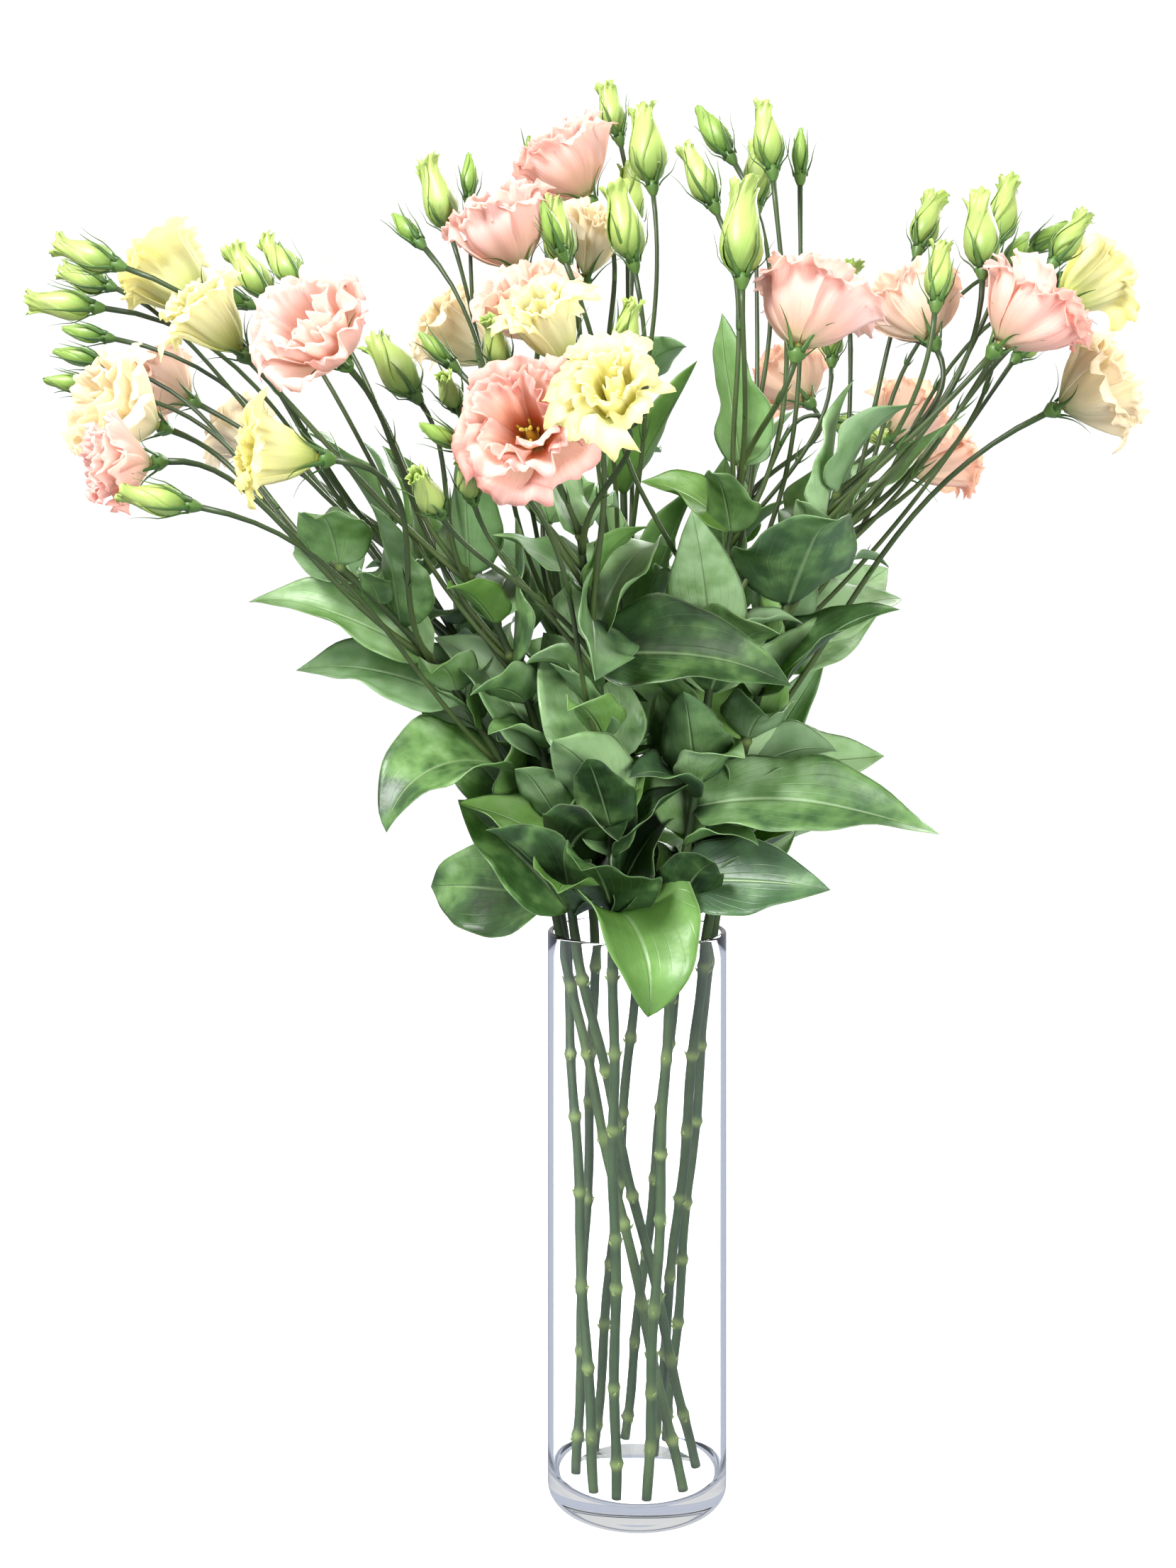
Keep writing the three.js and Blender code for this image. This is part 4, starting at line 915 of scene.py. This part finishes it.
class Nodes:
    """The nodes of a material or of the world. Three numbers are a colour as it looks on a screen, 0 to 255."""

    def __init__(self, owner, output):
        owner.use_nodes = True
        self.tree = owner.node_tree
        self.surface = self.tree.nodes[output].inputs["Surface"]

    def put(self, value, socket):
        if isinstance(value, Wire):
            self.tree.links.new(value.socket, socket)
        else:
            socket.default_value = linear(*value) if isinstance(value, tuple) and len(value) == 3 else value

    def node(self, kind, inputs=(), out=0, **settings):
        """Adds a node, and gives the wire from one of its outputs."""
        node = self.tree.nodes.new("ShaderNode" + kind)
        for name, value in settings.items():
            setattr(node, name, value)
        for name, value in dict(inputs).items():
            self.put(value, node.inputs[name])
        return Wire(self, node.outputs[out])

    def parts(self, vector):
        """The wires of a vector's three parts."""
        return [Wire(self, socket) for socket in self.node("SeparateXYZ", {0: vector}).socket.node.outputs]

    def own_place(self):
        return self.node("TexCoord", out="Object")

    def math(self, operation, a, b=0.0, clamp=False):
        return self.node("Math", {0: a, 1: b}, operation=operation, use_clamp=clamp)

    def remap(self, value, low, high, at_low=0.0, at_high=1.0):
        return self.node("MapRange", {0: value, 1: low, 2: high, 3: at_low, 4: at_high})

    def mix(self, factor, a, b, blend="MIX"):
        return self.node("Mix", {0: factor, 6: a, 7: b}, out=2, data_type="RGBA", blend_type=blend)

    def lighter(self, colour, times):
        grey = self.node("CombineColor", {0: times, 1: times, 2: times})
        return self.mix(1.0, colour, grey, "MULTIPLY")

    def ramp(self, factor, stops):
        wire = self.node("ValToRGB", {0: factor})
        elements = wire.socket.node.color_ramp.elements
        while len(elements) < len(stops):
            elements.new(0.5)
        for element, (at, colour) in zip(elements, stops):
            element.position, element.color = at, linear(*colour)
        return wire

    def noise(self, scale, detail, vector=None):
        """Blotches on the object's own coordinates, or on others."""
        return self.node("TexNoise", {"Vector": vector or self.own_place(), "Scale": scale, "Detail": detail})

    def plainly_seen(self, least=0):
        """1 where the camera looks straight at something or through glass, 0 for its light and its reflections. least
        is how many bounces such a look has."""
        bounces = self.node("LightPath", out="Ray Depth") - self.node("LightPath", out="Transmission Depth")
        return self.math("SUBTRACT", 1 + least, bounces, True)

    def show(self, factor, first, second):
        """Ends the nodes with a mix of two shaders."""
        self.put(self.node("MixShader", {0: factor, 1: first, 2: second}), self.surface)


class Finish(Nodes):
    """A material in the making."""

    def __init__(self, name, roughness, **sockets):
        self.material = bpy.data.materials.new(name)
        super().__init__(self.material, "Material Output")
        shader = self.tree.nodes["Principled BSDF"]
        self.inputs, self.shader = shader.inputs, Wire(self, shader.outputs[0])
        for socket, value in dict(sockets, Roughness=roughness).items():
            self.inputs[socket.replace("_", " ")].default_value = value

    def place(self):
        """The share along a piece, the place across it, and its shade."""
        return self.parts(self.node("Attribute", out="Vector", attribute_name="place", attribute_type="GEOMETRY"))

    def colour(self, wire):
        self.put(wire, self.inputs["Base Color"])

    def bump(self, height, strength, distance):
        bump = self.node("Bump", {"Height": height, "Strength": strength, "Distance": distance})
        self.put(bump, self.inputs["Normal"])


def petal_finish(name, outside, inside, edge, glow):
    """Thin petals that light shines through: a strong colour down in the throat, paler above, tinged along the rim."""
    f = Finish(name, 0.55, Subsurface_Weight=0.35, Subsurface_Scale=0.003, Subsurface_Radius=(1.0, 0.75, 0.6),
               Specular_IOR_Level=0.3, Sheen_Weight=0.1, Sheen_Roughness=0.5)
    u, v, shade = f.place()
    base = f.mix(f.remap(shade, 0.24, 0.34), f.ramp(u, outside), f.ramp(u, inside))
    rim = f.remap(u + (f.noise(60, 2.0) - 0.5) * 0.5, 0.8, 1.02)
    pale = f.remap(f.noise(9, 1.0), 0.4, 0.62, 0.0, 0.6) * f.remap(u, 0.3, 0.7)
    tinted = f.mix(pale, f.mix(rim * 0.8, base, edge), tuple(255 - 0.5 * (255 - c) for c in inside[-1][1]))
    veins = f.noise(1.0, 2.0, f.node("CombineXYZ", {0: u * 1.6, 1: v * 20, 2: shade}))
    colour = f.lighter(tinted, f.remap(veins, 0.3, 0.7, 0.89, 1.03))
    f.colour(colour)
    f.bump(veins, 0.5, 0.001)
    f.show(0.55, f.shader, f.node("BsdfTranslucent", {"Color": f.mix(0.5, colour, glow)}))
    return f.material


def bud_finish(name, low, high, seam):
    """Fine-streaked petals wound shut, greener at the foot and where one lies on the next."""
    f = Finish(name, 0.42, Subsurface_Weight=0.3, Subsurface_Scale=0.002, Subsurface_Radius=(0.7, 1.0, 0.35),
               Specular_IOR_Level=0.4)
    u, v, shade = f.place()
    base = f.ramp(u, [(0.05, low), (0.45, high), (1, [c * 0.95 for c in high])])
    streaks = f.noise(1.0, 3.0, f.node("CombineXYZ", {0: u * 3.0, 1: v * 9.0, 2: shade}))
    tone = f.mix(f.remap(v, 0.0, 0.4, 1.0, 0.0) * 0.55, base, seam)
    f.colour(f.lighter(tone, f.remap(streaks, 0.3, 0.7, 0.86, 1.08)))
    f.bump(streaks, 0.3, 0.0006)
    return f.material


def stalk_finish(name, dark, pale):
    """Waxy green skin, paler at the joints and the tips."""
    f = Finish(name, 0.45, Specular_IOR_Level=0.45)
    _, v, shade = f.place()
    blotch = f.noise(45, 3.0)
    base = f.ramp(blotch * 0.8 + shade * 0.25, [(0.35, dark), (0.8, [0.7 * a + 0.3 * b for a, b in zip(dark, pale)])])
    f.colour(f.mix(f.math("MULTIPLY", v, 0.85, True), base, pale))
    f.bump(blotch, 0.2, 0.0008)
    return f.material


def leaf_finish():
    """Waxy grey-green leaves with pale veins that run from the root in long arcs, and a thin pale margin, painted
    lighter high in the bunch and darker low in it, where light and shade fall.
    """
    f = Finish("leaf_wax", 0.44, Specular_IOR_Level=0.7)
    u, v, shade = f.place()
    blotch = f.noise(24, 4.0)
    # Painted light and shade: a leaf is lighter the higher it stands and darker lower down, where the bunch shades it.
    painted_light_by_height = f.remap(f.parts(f.own_place())[2], 0.36, 0.56, -0.22, 0.2)
    tone = blotch * 1.2 + (shade - 0.36) * 0.72 + painted_light_by_height + (f.noise(75, 5.0) - 0.5) * 0.9
    base = f.ramp(tone, [(0.2, (24, 42, 22)), (0.45, (56, 86, 48)), (0.7, (110, 146, 86)), (1.0, (158, 190, 140))])
    warm = f.remap(f.math("PINGPONG", shade * 7.0, 1.0), 0.6, 1.0, 0.0, 0.6)
    cool = f.remap(f.math("PINGPONG", shade * 11.0, 1.0), 0.5, 1.0, 0.0, 0.5)
    base = f.mix(cool, f.mix(warm, base, (116, 162, 64)), (94, 122, 98))
    wide = f.math("ABSOLUTE", v)
    middle = f.remap(wide, 0.012, 0.06, 1.0, 0.0)
    margin = f.remap(wide, 0.955, 0.99)
    arcs = f.math("DIVIDE", wide, f.math("POWER", u, 0.8) + 0.12)
    veins = f.remap(f.math("PINGPONG", arcs * 3.2, 0.5), 0.0, 0.07, 1.0, 0.0) * f.remap(u, 0.45, 0.85, 1.0, 0.0)
    mask = f.math("MAXIMUM", middle * 0.55, veins * 0.12, True)
    mask = f.math("MAXIMUM", mask, margin * 0.3, True)
    f.colour(f.mix(mask, base, (150, 176, 128)))
    f.bump(f.noise(240, 3.0) * 0.2 + blotch * 1.4 - mask, 0.8, 0.0014)
    f.show(0.26, f.shader, f.node("BsdfTranslucent", {"Color": (140, 184, 72)}))
    return f.material


def glass_finish():
    """Clear glass with a painted blue-grey reflection where it is seen edge on, that lets the lamps' light through to
    what stands in it.
    """
    f = Finish("clear_glass", 0.0, IOR=1.45, Transmission_Weight=1.0)
    film = f.ramp(f.noise(9, 2.0), [(0.35, (251, 254, 254)), (0.65, (255, 255, 255))])
    # Painted reflection: the glass's colour turns blue-grey where it is seen edge on.
    edge = f.remap(f.node("LayerWeight", {"Blend": 0.5}, out="Facing"), 0.8, 0.96)
    f.colour(f.mix(edge, film, (206, 214, 232)))
    clear = f.node("BsdfTransparent", {"Color": (0.97, 0.98, 0.98, 1)})
    f.show(f.node("LightPath", out="Is Shadow Ray"), f.shader, clear)
    return f.material


def floor_finish():
    """A white floor that glows a little, so that it runs into the white behind it. A grey shadow is painted on it under
    the glass, and things reflect it and are lit by it as if it were grey."""
    f = Finish("pale_floor", 0.7, Specular_IOR_Level=0.1, Emission_Color=(1, 1, 1, 1), Emission_Strength=0.8)
    f.colour(f.ramp(f.noise(3, 2.0), [(0.3, (250, 250, 250)), (0.7, (254, 254, 254))]))
    grey_bounce_and_painted_shadow = f.node("Emission", {"Color": (204, 210, 226), "Strength": 0.85})
    far = f.node("VectorMath", {0: f.own_place()}, out="Value", operation="LENGTH")
    # Painted shadow: within 36 to 50 mm of the vase's axis the camera sees the floor partly grey.
    f.show(f.plainly_seen() * f.remap(far, 0.036, 0.05, 0.7, 1.0), grey_bounce_and_painted_shadow, f.shader)
    return f.material


# Each colour of petal: outside and inside colours from foot to rim, the rim's tinge, and the light that comes through.
PETAL_COLOURS = {
    "pink": (
        [(0, (226, 226, 160)), (0.2, (250, 222, 198)), (0.55, (253, 216, 204)), (1, (253, 212, 202))],
        [(0, (200, 204, 120)), (0.14, (222, 170, 96)), (0.26, (240, 160, 114)), (0.46, (253, 214, 194)),
         (0.75, (255, 234, 224)), (1, (255, 226, 216))],
        (246, 164, 154), (255, 232, 220)),
    "blush": (
        [(0, (236, 234, 176)), (0.2, (252, 234, 206)), (0.6, (255, 234, 216)), (1, (255, 226, 208))],
        [(0, (206, 210, 120)), (0.12, (226, 200, 116)), (0.28, (246, 190, 146)), (0.55, (255, 226, 204)),
         (1, (255, 228, 212))],
        (250, 188, 168), (255, 230, 206)),
    "cream": (
        [(0, (218, 226, 156)), (0.25, (250, 244, 210)), (0.6, (255, 247, 224)), (1, (255, 243, 216))],
        [(0, (210, 202, 104)), (0.3, (250, 234, 180)), (0.6, (255, 245, 216)), (1, (255, 241, 214))],
        (255, 231, 198), (255, 248, 226)),
    "yellow": (
        [(0, (176, 200, 92)), (0.22, (226, 232, 150)), (0.5, (248, 246, 196)), (1, (255, 248, 206))],
        [(0, (196, 200, 80)), (0.3, (236, 230, 130)), (0.6, (252, 246, 180)), (1, (255, 248, 200))],
        (250, 238, 164), (250, 248, 196)),
}
PETALS = {name: petal_finish(name + "_petal", *colours) for name, colours in PETAL_COLOURS.items()}
STALK = stalk_finish("stalk_skin", (36, 52, 27), (116, 132, 72))
CUP = stalk_finish("calyx_skin", (52, 84, 38), (116, 146, 66))
HEART = bud_finish("flower_heart", (110, 130, 40), (214, 206, 90), (150, 150, 50))
OPENING = bud_finish("bud_petals", (100, 132, 60), (158, 178, 98), (112, 140, 64))
CLOSED = bud_finish("tight_bud", (76, 112, 44), (130, 160, 74), (76, 110, 42))
LEAF_WAX = leaf_finish()

# Assembly

PETAL_THICK, LEAF_THICK, BUD_PETAL_THICK = 0.45, 0.45, 0.4

for old in list(bpy.context.scene.objects):
    if old.type in ("CAMERA", "LIGHT"):
        bpy.data.objects.remove(old)

bloom_number = 0
add_vase(glass_finish())
for stem in stems_laid_out():
    number = f"{stem.index + 1:02d}"
    roll = dice(500 + stem.index)
    stalks, leaves, buds = Piece(), Piece(), Piece()
    add_stem(stalks, stem, roll)
    for head in stem.heads:
        add_twig(stalks, head, roll)
        add_calyx(stalks, head, roll)
        if not head.colour:
            add_bud(stalks, buds, head, roll)
    for leaf in stem.grown:
        add_leaf(leaves, leaf, roll)
    stalks.finish("stalks_" + number, "stem_" + number, "green", [STALK, CUP, OPENING, CLOSED])
    buds.finish("buds_" + number, "stem_" + number, "green", [OPENING, CLOSED], BUD_PETAL_THICK)
    leaves.finish("leaves_" + number, "stem_" + number, "green", [LEAF_WAX], LEAF_THICK)
    for head in stem.heads:
        if not head.colour:
            continue
        bloom_number += 1
        name = f"{bloom_number:02d}_{head.colour}"
        petals, heart = Piece(), Piece()
        for layer, whorl in enumerate(WHORLS_SHOWN[head.form]):
            for i in range(whorl.count):
                turn = 2 * pi * (i + 0.5 + whorl.turn + 0.12 * (roll() - 0.5)) / whorl.count
                add_petal(petals, head, whorl, turn, roll, layer)
        petals.finish("petals_" + name, "bloom_" + name, head.colour, [PETALS[head.colour]], PETAL_THICK)
        add_heart(heart, head, roll)
        heart.finish("heart_" + name, "bloom_" + name, head.colour, [PETALS[head.colour], HEART])

# Floor, light and camera

FLOOR_RADIUS = 6
FLOWERS = Vector((0, 0, 0.5))

# How bright the world is to the camera, to mirror-like paths and to paths that spread.
BACKGROUND, REFLECTED, AMBIENT = 1.05, 0.72, 0.25

# The photograph's height, focal length and level line in its own pixels, and the camera's sensor in millimetres.
PHOTO_TALL = 2212
FOCAL = 2394
HORIZON = 900
SENSOR = 36


def studio():
    """A white background that lights the object more softly than it shows."""
    world = bpy.data.worlds.new("studio")
    nodes = Nodes(world, "World Output")
    ambient = nodes.remap(nodes.node("LightPath", out="Diffuse Depth"), 0.0, 1.0, REFLECTED, AMBIENT)
    lit, plain = [nodes.node("Background", {0: (255, 255, 255), 1: strength}) for strength in (ambient, BACKGROUND)]
    nodes.show(nodes.plainly_seen(1), lit, plain)
    return world


def add_lamp(name, size, power, place):
    """A soft lamp that points at the middle of the flowers and doesn't show through the glass; the fill doesn't show in
    reflections either.
    """
    light = bpy.data.lights.new(name, "AREA")
    light.size, light.energy = size, power
    lamp = shown(name, light)
    lamp.location = place
    lamp.rotation_euler = (FLOWERS - Vector(place)).to_track_quat("-Z", "Y").to_euler()
    lamp.visible_transmission = False
    lamp.visible_glossy = name != "fill"


bm = bmesh.new()
bmesh.ops.create_circle(bm, cap_ends=True, segments=ROUND, radius=FLOOR_RADIUS)
floor = shown("floor", kept(bm))
floor.data.materials.append(floor_finish())

bpy.context.scene.world = studio()
add_lamp("key", 0.7, 94, (-1.1, -1.3, 1.8))
add_lamp("fill", 1.0, 62, (0.9, -1.8, 0.35))
add_lamp("back", 1.2, 80, (0.9, 1.5, 1.6))

lens = bpy.data.cameras.new("camera")
lens.sensor_fit = "AUTO"
lens.sensor_width = SENSOR
lens.lens = SENSOR * FOCAL / PHOTO_TALL
lens.shift_y = (HORIZON - PHOTO_TALL / 2) / PHOTO_TALL
camera = shown("camera", lens)
camera.location = (-0.0274, -0.950, 0.478)
camera.rotation_euler = (pi / 2, 0, 0)
bpy.context.scene.camera = camera
bpy.context.scene.view_settings.view_transform = "Standard"
